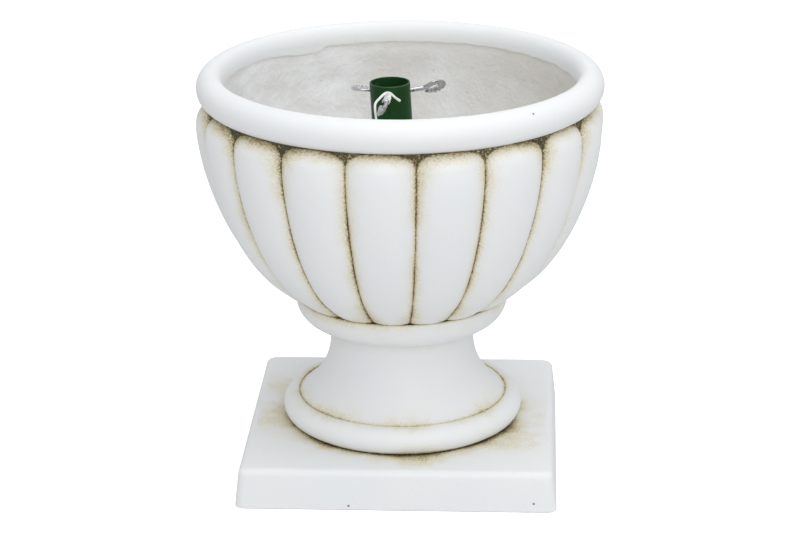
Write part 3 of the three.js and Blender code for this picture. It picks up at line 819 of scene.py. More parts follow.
def plated(name, dark, light, least_roughness):
    """Bare or plated metal with a clouded skin."""
    material, tree, skin = blank(name)
    frost = group(tree, grain, "Value", Size=2.2 * MM, Detail=4.0)
    cloud = group(tree, grain, "Value", Size=12 * MM, Detail=2.0)
    feed(tree, skin.inputs["Base Color"], mix(tree, frost, (*dark, 1), (*light, 1)))
    feed(tree, skin.inputs["Roughness"], (frost * 0.18 + cloud * 0.12 + least_roughness).clamped())
    feed(tree, skin.inputs["Normal"], bump(tree, frost, 0.03 * MM))
    skin.inputs["Metallic"].default_value = 1.0
    print(name + ":", len(tree.nodes), "nodes")
    return material


zinc = plated("zinc", (0.40, 0.41, 0.42), (0.62, 0.63, 0.64), 0.10)
brass = plated("brass", (0.42, 0.28, 0.10), (0.62, 0.45, 0.20), 0.22)

# %% Material: white plastic
GREY_PLASTIC, PALE_PLASTIC = (0.80, 0.82, 0.80, 1), (0.90, 0.91, 0.89, 1)

white_plastic, tree, skin = blank("white_plastic")
soft = group(tree, grain, "Value", Size=4 * MM, Detail=3.0)
feed(tree, skin.inputs["Base Color"], mix(tree, soft, GREY_PLASTIC, PALE_PLASTIC))
feed(tree, skin.inputs["Roughness"], soft * 0.15 + 0.28)
feed(tree, skin.inputs["Normal"], bump(tree, soft, 0.08 * MM))
skin.inputs["Subsurface Weight"].default_value = 0.1
skin.inputs["Subsurface Radius"].default_value = (0.002, 0.002, 0.002)
print("white plastic:", len(tree.nodes), "nodes")

# %% [markdown]
# ## Profiles
#
# A turned piece starts as rows of points, each with the numbers that the tree reads. Three helpers
# write them: a round, a stretch of points that carry the same numbers, and the distance of every row
# from the nearest crease, which the wash needs.

# %% Helpers for profiles


def arc(r, z, radius, start, stop, steps, reach=None):
    """Points (r, z) on a round, both ends included; degrees from outwards towards up. A reach
    makes it an ellipse across."""
    turns = np.radians(np.linspace(start, stop, steps + 1))
    return [(r + (reach or radius) * math.cos(a), z + radius * math.sin(a)) for a in turns]


def numbered(points, **numbers):
    """(r, z) points as profile rows that all carry the same numbers."""
    return [((r, 0.0, z), dict(numbers)) for r, z in points]


def level_row(start, stop, z, count):
    """Points (r, z) from one radius to another at one height."""
    return [(r, z) for r in np.linspace(start, stop, count)]


def creased(profile, creases):
    """Adds to each row its distance along the profile to the nearest crease, and that crease's
    weight. A crease is (row, weight)."""
    places = np.array([position for position, _ in profile])
    steps = np.linalg.norm(np.diff(places, axis=0), axis=1)
    run = np.concatenate([[0], np.cumsum(steps)])
    for i, (_, numbers) in enumerate(profile):
        gaps = [(abs(run[i] - run[row]), weight) for row, weight in creases]
        numbers["crease_gap"], numbers["crease_weight"] = min(gaps)


# %% [markdown]
# ## The bowl
#
# This is the piece that everyone looks at. Its crest line is one smooth curve: nearly flat where it
# leaves the foot, round at the belly, and drawn in a little under the rim. Every lobe is the same
# rule across, and its top closes in an arch, which leaves a small dark pocket between two lobes. The
# inner wall was laid by hand, so it is lumpy, and the smooth band of the rim ends on it in a ragged
# line.

# %% Sizes of the bowl
LOBES = 18
LOBE_TURN = math.radians(7.25)
GROOVE_DEPTH = 0.055  # of the radius
ARCH_HEIGHT, ARCH_POWER = 17 * MM, 2.7
BOWL_RADIUS, BOWL_FOOT_RADIUS = 191.8 * MM, 81.2 * MM
BOWL_BOTTOM, RIM_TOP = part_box("urn_bowl")[0].z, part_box("urn_bowl")[1].z
BELLY_HEIGHT, SHOULDER_HEIGHT = 165.4 * MM, 24.2 * MM
BELLY_LIFT, BELLY_SWELL = 1.55, 2.0
BELLY_RETURN = 2.3 * MM
RIM_TUBE, RIM_REACH, RIM_INSET = 15.2 * MM, 10.4 * MM, 0.8 * MM
INNER_STEP, INNER_STEP_DROP = 2.4 * MM, 3.2 * MM
FOOT_SINK, FOOT_SINK_HEIGHT = 3.8 * MM, 9 * MM
BOWL_WALL = 11 * MM
FLOOR_TOP, FLOOR_FILLET = BOWL_BOTTOM + 14.7 * MM, 12 * MM
COLLAR_LINE_RADIUS = 99.5 * MM  # where the lobes leave the pedestal's collar

BELLY_Z = BOWL_BOTTOM + BELLY_HEIGHT
RIM_FOOT = BELLY_Z + SHOULDER_HEIGHT
RIM_Z = RIM_FOOT + RIM_TUBE
RIM_MIDDLE = BOWL_RADIUS - RIM_INSET - RIM_TUBE
RIM_INNER = RIM_MIDDLE - RIM_REACH
STEP_BOTTOM = RIM_Z - INNER_STEP_DROP
print("rim top", round(RIM_TOP / MM, 1), "mm, by the sizes", round((RIM_Z + RIM_TUBE) / MM, 1))

# %% The bowl's curves


def crest_radius(z):
    """How far the lobes' crests reach at a height."""
    up = min((z - BOWL_BOTTOM) / BELLY_HEIGHT, 1)
    swell = (1 - (1 - up) ** BELLY_LIFT) ** (1 / BELLY_SWELL)
    past = max(0, (z - BELLY_Z) / SHOULDER_HEIGHT)
    return BOWL_FOOT_RADIUS + (BOWL_RADIUS - BOWL_FOOT_RADIUS) * swell - BELLY_RETURN * past ** 2


def inner_radius(z):
    """The inner wall: a wall's thickness inside the grooves, drawn in to the rim at the top."""
    wall = crest_radius(z) * (1 - GROOVE_DEPTH) - BOWL_WALL
    share = min(1, (STEP_BOTTOM - z) / (2 * RIM_TUBE))
    return wall * share + (RIM_INNER + INNER_STEP) * (1 - share)


def sunk_foot(z):
    """The lobes dip a little into the collar's dished top."""
    return z - FOOT_SINK * math.exp(-(((z - BOWL_BOTTOM) / FOOT_SINK_HEIGHT) ** 2))


print("belly:", round(crest_radius(BELLY_Z) / MM, 1), "mm, under the rim",
      round(crest_radius(RIM_FOOT) / MM, 1), "mm")

# %% [markdown]
# The profile runs from the middle of the underside, up the crests and over the rim, and down the
# inner wall to the middle of the floor. Rows lie closer together where it curves more: at the foot,
# in the arch and round the rim.

# %% Profile of the bowl, outside
foot_z = sunk_foot(BOWL_BOTTOM)
bowl_rows = numbered(level_row(0, BOWL_FOOT_RADIUS * 0.9, foot_z, 5))
bowl_rows += numbered([(BOWL_FOOT_RADIUS, foot_z)], lobed=1)
crest_heights = BOWL_BOTTOM + BELLY_HEIGHT * np.linspace(0, 1, 70)[1:] ** 2
bowl_rows += numbered([(crest_radius(z), sunk_foot(z)) for z in crest_heights], lobed=1)
outer_rows = range(5, len(bowl_rows))
foot_row = min(outer_rows, key=lambda i: abs(bowl_rows[i][0][0] - COLLAR_LINE_RADIUS))
arch_foot = RIM_FOOT - ARCH_HEIGHT
for share in 1 - (1 - np.linspace(0, 1, 26)) ** 1.5:
    z = arch_foot + ARCH_HEIGHT * share
    bowl_rows += numbered([(crest_radius(z), z)], lobed=1, arch=share)
under_rim_row = len(bowl_rows) - 1
groove_top = crest_radius(RIM_FOOT) * (1 - GROOVE_DEPTH)
rim_start = -math.degrees(math.acos((groove_top - RIM_MIDDLE) / RIM_TUBE))
bowl_rows += numbered(arc(RIM_MIDDLE, RIM_Z, RIM_TUBE, rim_start, 90, 36)[1:])
bowl_rows += numbered(arc(RIM_MIDDLE, RIM_Z, RIM_TUBE, 90, 180, 18, reach=RIM_REACH)[1:])
print("outside:", len(bowl_rows), "rows")

# %% Profile of the bowl, inside
RAGGED_WEIGHTS = (0.12, 0.3, 0.55, 0.8, 1.0)  # down the rim's inner band, to its edge
WALL_ROWS, RAGGED_FADE = 52, 11

band_top = len(bowl_rows) - 1
quarters = np.linspace(0, 1, 5)[1:]
bowl_rows += numbered([(RIM_INNER, RIM_Z - INNER_STEP_DROP * share) for share in quarters])
step_row = len(bowl_rows) - 1
for row, weight in zip(range(band_top, step_row + 1), RAGGED_WEIGHTS):
    bowl_rows[row][1]["ragged"] = weight
under_step = (RIM_INNER + INNER_STEP * 0.5, RIM_Z - INNER_STEP_DROP * 1.08)
bowl_rows += numbered([under_step], ragged=1, inside=0.5)
fillet_top = FLOOR_TOP + FLOOR_FILLET
for share in np.linspace(0, 1, WALL_ROWS):
    z = STEP_BOTTOM - 0.4 * MM + (fillet_top - STEP_BOTTOM) * share
    bowl_rows += numbered([(inner_radius(z), z)], inside=1, ragged=max(0, 1 - share * RAGGED_FADE))
fillet_middle = inner_radius(fillet_top) - FLOOR_FILLET
bowl_rows += numbered(arc(fillet_middle, fillet_top, FLOOR_FILLET, 0, -90, 8)[1:], inside=1)
bowl_rows += numbered(level_row(fillet_middle, 0, FLOOR_TOP, 14)[1:], inside=1)
# The weak crease at step_row is a painted shadow line along the step inside the rim, not wash.
creased(bowl_rows, [(foot_row, 1.0), (under_rim_row, 0.85), (step_row, 0.12)])
print("bowl profile:", len(bowl_rows), "rows")

# %% Turn the bowl
bowl = grow("gadrooned_bowl", bowl_rows, (turned, {
    "Lobes": LOBES, "Steps per Lobe": 20, "Turn": LOBE_TURN, "Groove Depth": GROOVE_DEPTH,
    "Gather": 0.8, "Arch Power": ARCH_POWER, "Lumps": 0.35 * MM, "Lump Size": 40 * MM,
    "Roughness": 0.8 * MM, "Ragged": 3.5 * MM, "Patch Start": math.radians(119.5),
    "Patch Width": math.radians(27), "Patch Drop": 7 * MM, "Material": white_casting,
}))
settle(bowl, "root", "white_casting", "urn_bowl")

# %% [markdown]
# ## The pedestal
#
# A torus foot, a stem that flares down to it, and a collar like a shallow bowl. The collar's top is
# dished, so the lobes seem to grow out of it. The wash lies under the torus, in both creases of the
# stem and at the collar's lip, and a faint mould seam runs down each side. The crease under the
# collar is darkened partly as wash and partly as painted shade. The seam is moved in the finished
# mesh, because it belongs to two angles only and would need a number for every column.

# %% Sizes of the pedestal
PEDESTAL_BOTTOM, PEDESTAL_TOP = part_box("pedestal")[0].z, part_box("pedestal")[1].z
PEDESTAL_WALL = 12 * MM
TORUS_RADIUS, TORUS_TUBE = 115.3 * MM, 13 * MM
TORUS_MIDDLE = TORUS_RADIUS - TORUS_TUBE
TORUS_Z = PEDESTAL_BOTTOM + TORUS_TUBE
STEM_FLARE, STEM_NECK, STEM_HEIGHT = 98.5 * MM, 68.5 * MM, 70 * MM
STEM_BOTTOM = TORUS_Z + TORUS_TUBE - 0.6 * MM
STEM_TOP = STEM_BOTTOM + STEM_HEIGHT
COLLAR_RADIUS, COLLAR_FOOT, COLLAR_SWELL = 101.1 * MM, 71.8 * MM, 23.5 * MM
COLLAR_BOTTOM = STEM_TOP + 1.8 * MM
COLLAR_EDGE = 2.2 * MM
COLLAR_DISH = ((96.5 * MM, 1.6 * MM), (92 * MM, 4.2 * MM))  # radius, depth under the collar's top
DISH_RADIUS, DISH_DEPTH = 86 * MM, 4.4 * MM
FOOT_LAND, LAND_ANGLE = 80 * MM, 72
LAND_OUTER = TORUS_MIDDLE + TORUS_TUBE * math.cos(math.radians(LAND_ANGLE))
print("pedestal:", round((PEDESTAL_TOP - PEDESTAL_BOTTOM) / MM, 1), "mm high")

# %% Profile of the pedestal


def stem_radius(z):
    """The stem flares downwards as the third power of the way down."""
    return STEM_NECK + (STEM_FLARE - STEM_NECK) * ((STEM_TOP - z) / STEM_HEIGHT) ** 3


rows = numbered(level_row(0, STEM_NECK - PEDESTAL_WALL, PEDESTAL_TOP - PEDESTAL_WALL, 6))
rows += numbered([(min(stem_radius(z) - PEDESTAL_WALL, FOOT_LAND), z)
                  for z in np.linspace(STEM_TOP, STEM_BOTTOM, 16)])
rows += numbered([(FOOT_LAND, PEDESTAL_BOTTOM + 1 * MM), (FOOT_LAND + 1 * MM, PEDESTAL_BOTTOM),
                  (LAND_OUTER, PEDESTAL_BOTTOM)])
foot_line = len(rows) - 1
rows += numbered(arc(TORUS_MIDDLE, TORUS_Z, TORUS_TUBE, -LAND_ANGLE, 96, 34))
rows += numbered([(TORUS_MIDDLE - 2.4 * MM, STEM_BOTTOM - 0.3 * MM)])
torus_line = len(rows) - 1
rows += numbered([(stem_radius(z), z) for z in np.linspace(STEM_BOTTOM + 0.6 * MM, STEM_TOP, 46)])
rows += numbered([(STEM_NECK + 0.4 * MM, STEM_TOP + 1.1 * MM)])
collar_line = len(rows) - 1
rows += numbered(arc(COLLAR_FOOT, COLLAR_BOTTOM + COLLAR_SWELL, COLLAR_SWELL, -90, 0, 24,
                     reach=COLLAR_RADIUS - COLLAR_FOOT))
rows += numbered(arc(COLLAR_RADIUS - COLLAR_EDGE, PEDESTAL_TOP - COLLAR_EDGE, COLLAR_EDGE, 0, 100, 8))
lip_line = len(rows) - 1
rows += numbered([(r, PEDESTAL_TOP - depth) for r, depth in COLLAR_DISH])
rows += numbered(level_row(DISH_RADIUS, 0, PEDESTAL_TOP - DISH_DEPTH, 6))
# collar_line's crease is partly wash and partly painted shade under the collar's overhang.
creased(rows, [(foot_line, 1.0), (torus_line, 1.0), (collar_line, 0.7), (lip_line, 1.1)])
print("pedestal profile:", len(rows), "rows")

# %% Turn the pedestal and raise its seam
SEAM, SEAM_WIDTH, SEAM_RISE = math.radians(-27), math.radians(1.2), 0.008  # rise: of the radius
SEAM_START = 0.15  # of the stem's height
STEM_OUTSIDE = STEM_NECK - 5 * MM  # what lies further out belongs to the stem's outside

pedestal = grow("pedestal_casting", rows, (turned, {
    "Lobes": 24, "Steps per Lobe": 10, "Lumps": 0.3 * MM, "Lump Size": 30 * MM, "Material": white_casting,
}))
for vertex in pedestal.data.vertices:
    up = (vertex.co.z - STEM_BOTTOM) / STEM_HEIGHT
    if SEAM_START < up < 1 and math.hypot(vertex.co.x, vertex.co.y) > STEM_OUTSIDE:
        for seam in (SEAM, SEAM + math.pi):
            off = math.remainder(math.atan2(vertex.co.y, vertex.co.x) - seam, 2 * math.pi)
            vertex.co.xy *= 1 + SEAM_RISE * max(0, 1 - abs(off) / SEAM_WIDTH) * math.sin(math.pi * up)
settle(pedestal, "root", "white_casting", "pedestal")

# %% [markdown]
# ## The plinth
#
# A square block with a slight draft and soft arrises, open below. A cube with bevels has no points
# on its flat top, and the top needs many, for its rough spots and for the wash. So the plinth is a
# loft of rings: each ring is a rounded square given as a radius for every angle, which lets it blend
# into the round hole in the middle.

# %% Sizes of the plinth
PLINTH_HALF, PLINTH_TOP = 150 * MM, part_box("plinth")[1].z
PLINTH_DRAFT, PLINTH_CORNER, PLINTH_EDGE = 4.1 / 38, 8 * MM, 6 * MM
PLINTH_OPENING, PLINTH_WALL, PLINTH_CEILING = 70 * MM, 15 * MM, PLINTH_TOP - 14 * MM
FOOT_EDGE = 0.8 * MM


def square_radius(angle, half, corner):
    """How far a square with rounded corners reaches at an angle."""
    folded = abs((angle + math.pi / 4) % (math.pi / 2) - math.pi / 4)
    c, s = math.cos(folded), math.sin(folded)
    if half * s / c <= half - corner:
        return half / c
    inset = half - corner
    return inset * (c + s) + math.sqrt(max(0, corner ** 2 - inset ** 2 * (1 - 2 * s * c)))


def plinth_half(z):
    """Half the plinth's width at a height."""
    return PLINTH_HALF - PLINTH_DRAFT * z


print("plinth:", round(2 * plinth_half(0) / MM), "mm wide,", round(PLINTH_TOP / MM, 1), "mm high")

# %% Rings of the plinth, from the foot up and in
ROUND_STEP, CORNER_STEP = 1.5, 0.4  # degrees between two points of a ring
TOP_RINGS = 43

near_corners = [quarter + step for quarter in (45, 135, 225, 315)
                for step in np.arange(-4, 4.01, CORNER_STEP)]
all_round = [*np.arange(0, 360, ROUND_STEP), *near_corners]
square_angles = np.radians(sorted({round(a, 3) for a in all_round}))
edge_z = PLINTH_TOP - PLINTH_EDGE
outer = [(plinth_half(0) - FOOT_EDGE, 0), (plinth_half(0), FOOT_EDGE)]
outer += [(plinth_half(z), z) for z in np.linspace(4 * MM, edge_z, 9)[:-1]]
outer += [(plinth_half(z) - PLINTH_EDGE + d, z) for d, z in arc(0, edge_z, PLINTH_EDGE, 0, 90, 8)]
rings = [[(square_radius(a, half, PLINTH_CORNER), z) for a in square_angles] for half, z in outer]
top_edge = rings[-1]
for share in np.linspace(0, 1, TOP_RINGS + 1)[1:]:
    rings.append([(r * (1 - share) + PLINTH_OPENING * share, PLINTH_TOP) for r, _ in top_edge])
rings.append([(PLINTH_OPENING, PLINTH_CEILING)] * len(square_angles))
for z in (PLINTH_CEILING, 0):
    inner_half = plinth_half(z) - PLINTH_WALL
    rings.append([(square_radius(a, inner_half, PLINTH_CORNER), z) for a in square_angles])
print("plinth:", len(rings), "rings of", len(square_angles), "points")

# %% [markdown]
# On the real plinth the wash has run out from under the torus and dried in an uneven halo, and a
# few spots beside the torus are rough. Every point of the top gets a distance to the torus, made
# longer or shorter by noise, and the wash follows that distance.

# %% Lumps, rough spots and the halo
ROUGH_SPOTS = ((101, -48, 13), (94, -91, 9), (-70, -84, 12), (-35, -105, 9))  # x, y, size in mm
HALO_WEIGHT = 2.3


def roughness_at(point):
    """How rough the top is at a point: 1 in the middle of a spot, less around it."""
    return sum(math.exp(-((point.x / MM - x) ** 2 + (point.y / MM - y) ** 2) / size ** 2)
               for x, y, size in ROUGH_SPOTS)


def halo_scale(point, angle, rough):
    """What the distance to the torus counts for: less where the halo is wider. It is wider at
    the rough spots and to the left and right."""
    drift = min(1, max(0, point_noise.noise(point * 16) + 0.5))
    return (0.34 + 0.4 * drift) * (1.4 - 0.65 * abs(math.cos(angle))) - 0.1 * min(1, rough)


points, gaps = [], []
for ring_points in rings:
    for angle, (r, z) in zip(square_angles, ring_points):
        point = Vector((r * math.cos(angle), r * math.sin(angle), z))
        on_top = z > PLINTH_TOP - 0.1 * MM
        rough = roughness_at(point) if on_top else 0
        gaps.append(max(0, r - LAND_OUTER) * halo_scale(point, angle, rough) if on_top else 1.0)
        if z > 1 * MM:
            lump = point_noise.noise(point * 30) * 0.25
            point.z += (lump + point_noise.noise(point * 260) * rough * 0.7) * MM
        points.append(point)
print("plinth:", len(points), "points,", len(ROUGH_SPOTS), "rough spots")

# %% Loft the plinth
count = len(square_angles)
faces = []
for k in range(len(rings)):
    here, there = k * count, (k + 1) % len(rings) * count
    for i in range(count):
        following = (i + 1) % count
        faces.append((here + i, here + following, there + following, there + i))
mesh = bpy.data.meshes.new("plinth_casting")
mesh.from_pydata(points, [], faces)
for label, numbers in (("crease_gap", gaps), ("crease_weight", [HALO_WEIGHT] * len(gaps)),
                       ("groove_gap", [1.0] * len(gaps))):
    mesh.attributes.new(label, "FLOAT", "POINT").data.foreach_set("value", numbers)
mesh.shade_smooth()
mesh.set_sharp_from_angle(angle=math.radians(50))
mesh.materials.append(white_casting)
plinth = bpy.data.objects.new("plinth_casting", mesh)
scene.collection.objects.link(plinth)
settle(plinth, "root", "white_casting", "plinth")

# %% [markdown]
# ## The tube and its plate
#
# The tube leans three degrees. It is turned upright first and then laid over, so that its profile
# stays simple: the foot is cut level to meet the plate, and the mouth was sawn nearly level too.
# Three collars are drawn inwards for the screws, and the weld at the foot is a rippled fillet.

# %% Sizes of the tube and its screws
TUBE_OUTER, TUBE_BORE = 19 * MM, 17.5 * MM
TUBE_LENGTH, TUBE_LEAN, MOUTH_CUT = 187.4 * MM, math.radians(3), math.radians(1.9)
TUBE_FOOT = PEDESTAL_TOP + 18.6 * MM
OUTER_EDGE, INNER_EDGE = 0.45 * MM, 0.35 * MM
WELD = 4 * MM
SCREW_HEIGHT = TUBE_LENGTH - 11 * MM
SCREW_RADIUS, SCREW_GAP = 2.35 * MM, 0.3 * MM
COLLAR_THICK, COLLAR_REACH = 2 * MM, (TUBE_BORE - 2.5 * MM, TUBE_OUTER - 0.7 * MM)
HOLE_REACH = (5 * MM, TUBE_OUTER * 1.6)
SCREWS = {  # azimuth, how far the inner end stands off the middle, roll, bend of the eye
    "front": (-96, 9.5 * MM, 57, -0.25),
    "right": (24, 15.5 * MM, 136, 0.0),
    "left": (144, 4.8 * MM, 12, 0.0),
}
leaning = Matrix.Translation((0, 0, TUBE_FOOT)) @ Matrix.Rotation(-TUBE_LEAN, 4, "Y")
print("tube:", round(2 * TUBE_OUTER / MM), "mm across, screws", round(SCREW_HEIGHT / MM, 1), "mm up")


def at_screw(azimuth):
    """Turns the X axis of the upright tube to a screw."""
    return Matrix.Translation((0, 0, SCREW_HEIGHT)) @ Matrix.Rotation(math.radians(azimuth), 4, "Z")


# %% Turn the tube
rows = numbered([(TUBE_BORE, 0), (TUBE_OUTER + WELD, 0)])
rows += numbered([(TUBE_OUTER + WELD - WELD * math.sin(a), WELD - WELD * math.cos(a))
                  for a in np.radians(np.linspace(10, 90, 9))], inside=0.5)  # the weld is rough
rows += numbered([(TUBE_OUTER, z) for z in np.linspace(WELD, TUBE_LENGTH - 0.5 * MM, 30)[1:]])
rows += numbered(arc(TUBE_OUTER - OUTER_EDGE, TUBE_LENGTH - OUTER_EDGE, OUTER_EDGE, 0, 90, 5)[1:])
mouth_line = len(rows) - 1
rows += numbered(arc(TUBE_BORE + INNER_EDGE, TUBE_LENGTH - INNER_EDGE, INNER_EDGE, 90, 180, 4))
rows += numbered([(TUBE_BORE, z) for z in np.linspace(TUBE_LENGTH - 1 * MM, 0, 24)])
creased(rows, [(mouth_line, 1.0)])
tube = grow("socket_tube", rows, (turned, {
    "Lobes": 12, "Steps per Lobe": 8, "Roughness": 0.9 * MM, "Material": green_paint,
}))
for vertex in tube.data.vertices:
    up = vertex.co.z / TUBE_LENGTH
    vertex.co.z -= vertex.co.x * (math.tan(TUBE_LEAN) * (1 - up) + math.tan(MOUTH_CUT) * up)
print("tube profile:", len(rows), "rows")

# %% Add its collars, drill them and lean it


def round_bar(radius, start, stop, sides=40):
    """A green bar along X from one place to another, to add or to cut with."""
    made = bpy.data.objects.new("bar", bpy.data.meshes.new("bar"))
    solid = bmesh.new()
    lying = Matrix.Translation(((start + stop) / 2, 0, 0)) @ Matrix.Rotation(math.pi / 2, 4, "Y")
    bmesh.ops.create_cone(solid, cap_ends=True, segments=sides, radius1=radius, radius2=radius,
                          depth=stop - start, matrix=lying)
    solid.to_mesh(made.data)
    solid.free()
    made.data.materials.append(green_paint)
    scene.collection.objects.link(made)
    return made


tools = []
for operation, thick, reach in (("UNION", COLLAR_THICK, COLLAR_REACH), ("DIFFERENCE", 0, HOLE_REACH)):
    for azimuth, *_ in SCREWS.values():
        tool = round_bar(SCREW_RADIUS + SCREW_GAP + thick, *reach)
        tool.data.transform(at_screw(azimuth))
        tools.append((operation, tool))
tube = booled(tube, *tools)
tube.data.transform(leaning)
settle(tube, "root", "green_paint", "pole_tube")

# %% [markdown]
# The plate is a square with rounded corners, bevelled above and below. The rule for the plinth's
# rings makes it too, and four bars cut the holes for the clamp bolts.

# %% The plate under it
PLATE_HALF, PLATE_CORNER, PLATE_BEVEL = 40 * MM, 8 * MM, 0.5 * MM
CLAMP_OFFSET, CLAMP_HOLE = 28 * MM, 3.4 * MM

low, high = (corner.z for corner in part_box("tube_plate"))
plate_levels = [(PLATE_HALF - PLATE_BEVEL, low), (PLATE_HALF, low + PLATE_BEVEL),
                (PLATE_HALF, high - PLATE_BEVEL), (PLATE_HALF - PLATE_BEVEL, high)]
solid = bmesh.new()
loops = []
for half, z in plate_levels:
    reaches = [square_radius(a, half, PLATE_CORNER) for a in square_angles]
    loops.append([solid.verts.new((r * math.cos(a), r * math.sin(a), z))
                  for r, a in zip(reaches, square_angles)])
for first, second in zip(loops, loops[1:]):
    for i in range(count):
        solid.faces.new((first[i], first[(i + 1) % count], second[(i + 1) % count], second[i]))
solid.faces.new(loops[0][::-1])
solid.faces.new(loops[-1])
plate = bpy.data.objects.new("base_plate", bpy.data.meshes.new("base_plate"))
solid.to_mesh(plate.data)
solid.free()
plate.data.materials.append(green_paint)
scene.collection.objects.link(plate)
holes = []
for x, y in ((1, 1), (-1, 1), (-1, -1), (1, -1)):
    hole = round_bar(CLAMP_HOLE, -10 * MM, 10 * MM)
    upright = Matrix.Rotation(math.pi / 2, 4, "Y")
    hole.data.transform(Matrix.Translation((x * CLAMP_OFFSET, y * CLAMP_OFFSET, low)) @ upright)
    holes.append(("DIFFERENCE", hole))
plate = booled(plate, *holes)
settle(plate, "root", "green_paint", "tube_plate")

# %% [markdown]
# ## Eye bolts and the twist tie
#
# Each screw was bent from threaded round bar. The eye was pressed flat while it was formed, so it is
# wider than the bar across and thinner through, and the bar's end stops just short of its own neck.
# The line is drawn flat, and a matrix turns it to the angle that the screw has in the photograph.

# %% Lines for bent bars


def held(value):
    """Held between 0 and 1."""
    return min(1, max(0, value))


def smooth_line(points, steps):
    """A curve through points, so many steps from each to the next (Catmull-Rom)."""
    known = [Vector(p) for p in points]
    known = [known[0] * 2 - known[1], *known, known[-1] * 2 - known[-2]]
    curve = []
    for before, here, there, after in zip(known, known[1:], known[2:], known[3:]):
        for t in np.arange(steps) / steps:
            bend = (before * 2 - here * 5 + there * 4 - after) * t ** 2
            twist = (here * 3 - before - there * 3 + after) * t ** 3
            curve.append((here * 2 + (there - before) * t + bend + twist) / 2)
    return [*curve, known[-2]]


def densified(curve, near_end):
    """More points at both ends, so that their rounding is smooth."""
    shares = [0, 0.02, 0.08, 0.18, 0.32, 0.5, 0.72]
    head_end = curve[0] + (curve[1] - curve[0]).normalized() * near_end
    tail_end = curve[-1] + (curve[-2] - curve[-1]).normalized() * near_end
    keep = [p for p in curve[1:-1] if min((p - curve[0]).length, (p - curve[-1]).length) > near_end]
    return [*(curve[0].lerp(head_end, s) for s in shares), *keep,
            *(curve[-1].lerp(tail_end, s) for s in shares[::-1])]


def bar_rows(curve, turn, numbers, blunt):
    """Rows for a bent bar. numbers gives width, thickness and the rest at a share of the run;
    the ends round off over a blunt length."""
    runs = [0.0, *np.cumsum([(b - a).length for a, b in zip(curve, curve[1:])])]
    bent_rows = []
    for i, (point, run) in enumerate(zip(curve, runs)):
        ahead = (curve[min(i + 1, len(curve) - 1)] - curve[max(i - 1, 0)]).normalized()
        row = dict(numbers(run / runs[-1], run))
        thin = Vector(row.pop("thin", (0, 0, 1)))
        thin = (thin - ahead * thin.dot(ahead)).normalized()
        to_end = min(run, runs[-1] - run, blunt) / blunt
        rounded = math.sqrt(max(0, 1 - (1 - to_end) ** 2))
        row["width"] *= rounded
        row["thickness"] *= rounded
        row["run"] = run
        row["thin"] = turn.to_3x3() @ thin
        bent_rows.append((turn @ point, row))
    return bent_rows


# %% The eye's flat line and its sections
BAR, EYE_OUTER, SCREW_LENGTH = 4.7 * MM, 22 * MM, 40 * MM
EYE_WIDTH, EYE_THICKNESS = 7.2 * MM, 3.4 * MM
NECK, PRESS_LENGTH, EYE_MIDDLE = 16.15 * MM, 5 * MM, SCREW_LENGTH - EYE_OUTER / 2
EYE_LOOP = (EYE_OUTER - EYE_WIDTH) / 2
NECK_BEND = ((2.3 * MM, 0.3 * MM), (4.6 * MM, 2.0 * MM))  # past the neck, and to the side
JOIN_ANGLE, END_ANGLE = 138, -142  # where the eye leaves the neck, and where the bar ends
THREAD_FADE = (0.8, 8.5)  # mm along the bar
RIB_SPAN, RIB_FADE = (0.62, 0.93), 12  # shares of the bar, and how sharply the ribs set in
SCREW_BLUNT = 0.9 * MM

flat_line = [(x, 0, 0) for x in np.linspace(0, NECK, 8)]
flat_line += [(NECK + past, aside, 0) for past, aside in NECK_BEND]
flat_line += [(EYE_MIDDLE + EYE_LOOP * math.cos(a), EYE_LOOP * math.sin(a), 0)
              for a in np.radians(np.linspace(JOIN_ANGLE, END_ANGLE, 21))]


def past_neck(along):
    """0 up to the neck and 1 beyond it, eased over the length that the press reaches."""
    share = held((along - NECK) / PRESS_LENGTH)
    return share ** 2 * (3 - 2 * share)


def bent_eye(curve, bend):
    """Tilts the eye out of its plane from the neck on."""
    for point in curve:
        point.z += bend * (point.x - EYE_MIDDLE) * past_neck(point.x)
    return densified(curve, SCREW_BLUNT)


def screw_numbers(share, run):
    """The bar's section, and where it has a thread or ribs."""
    pressed = past_neck(run)
    return {
        "width": BAR + (EYE_WIDTH - BAR) * pressed,
        "thickness": BAR + (EYE_THICKNESS - BAR) * pressed,
        "threaded": held(run / MM - THREAD_FADE[0]) * held(THREAD_FADE[1] - run / MM),
        "ribbed": held((share - RIB_SPAN[0]) * RIB_FADE) * held((RIB_SPAN[1] - share) * RIB_FADE),
    }


print("eye:", round(EYE_OUTER / MM), "mm across, on", round(BAR / MM, 1), "mm bar")

# %% Bend the eye bolts
turns = {}
for side, (azimuth, tip, roll, bend) in SCREWS.items():
    rolled = Matrix.Translation((tip, 0, 0)) @ Matrix.Rotation(math.radians(roll), 4, "X")
    turns[side] = leaning @ at_screw(azimuth) @ rolled
    screw_line = bent_eye(smooth_line(flat_line, 6), bend)
    screw = grow("screw_" + side, bar_rows(screw_line, turns[side], screw_numbers, SCREW_BLUNT), (bent, {
        "Sides": 32, "Thread Pitch": 0.8 * MM, "Thread Depth": 0.42 * MM, "Rib Pitch": 3.4 * MM,
        "Rib Height": 0.8 * MM, "Roughness": 0.1 * MM, "Material": zinc,
    }), sharp=60)
    settle(screw, side + "_bolt", "zinc", "eye_bolt_" + side)

# %% [markdown]
# The tie is a flat tape. Its free strand is drawn through points that are given one by one, in the
# front eye's own plane, so it goes wherever that eye goes. Six tight turns round the eye hold it, and
# those are worked out: the tape goes round the bar while the bar goes round the eye.

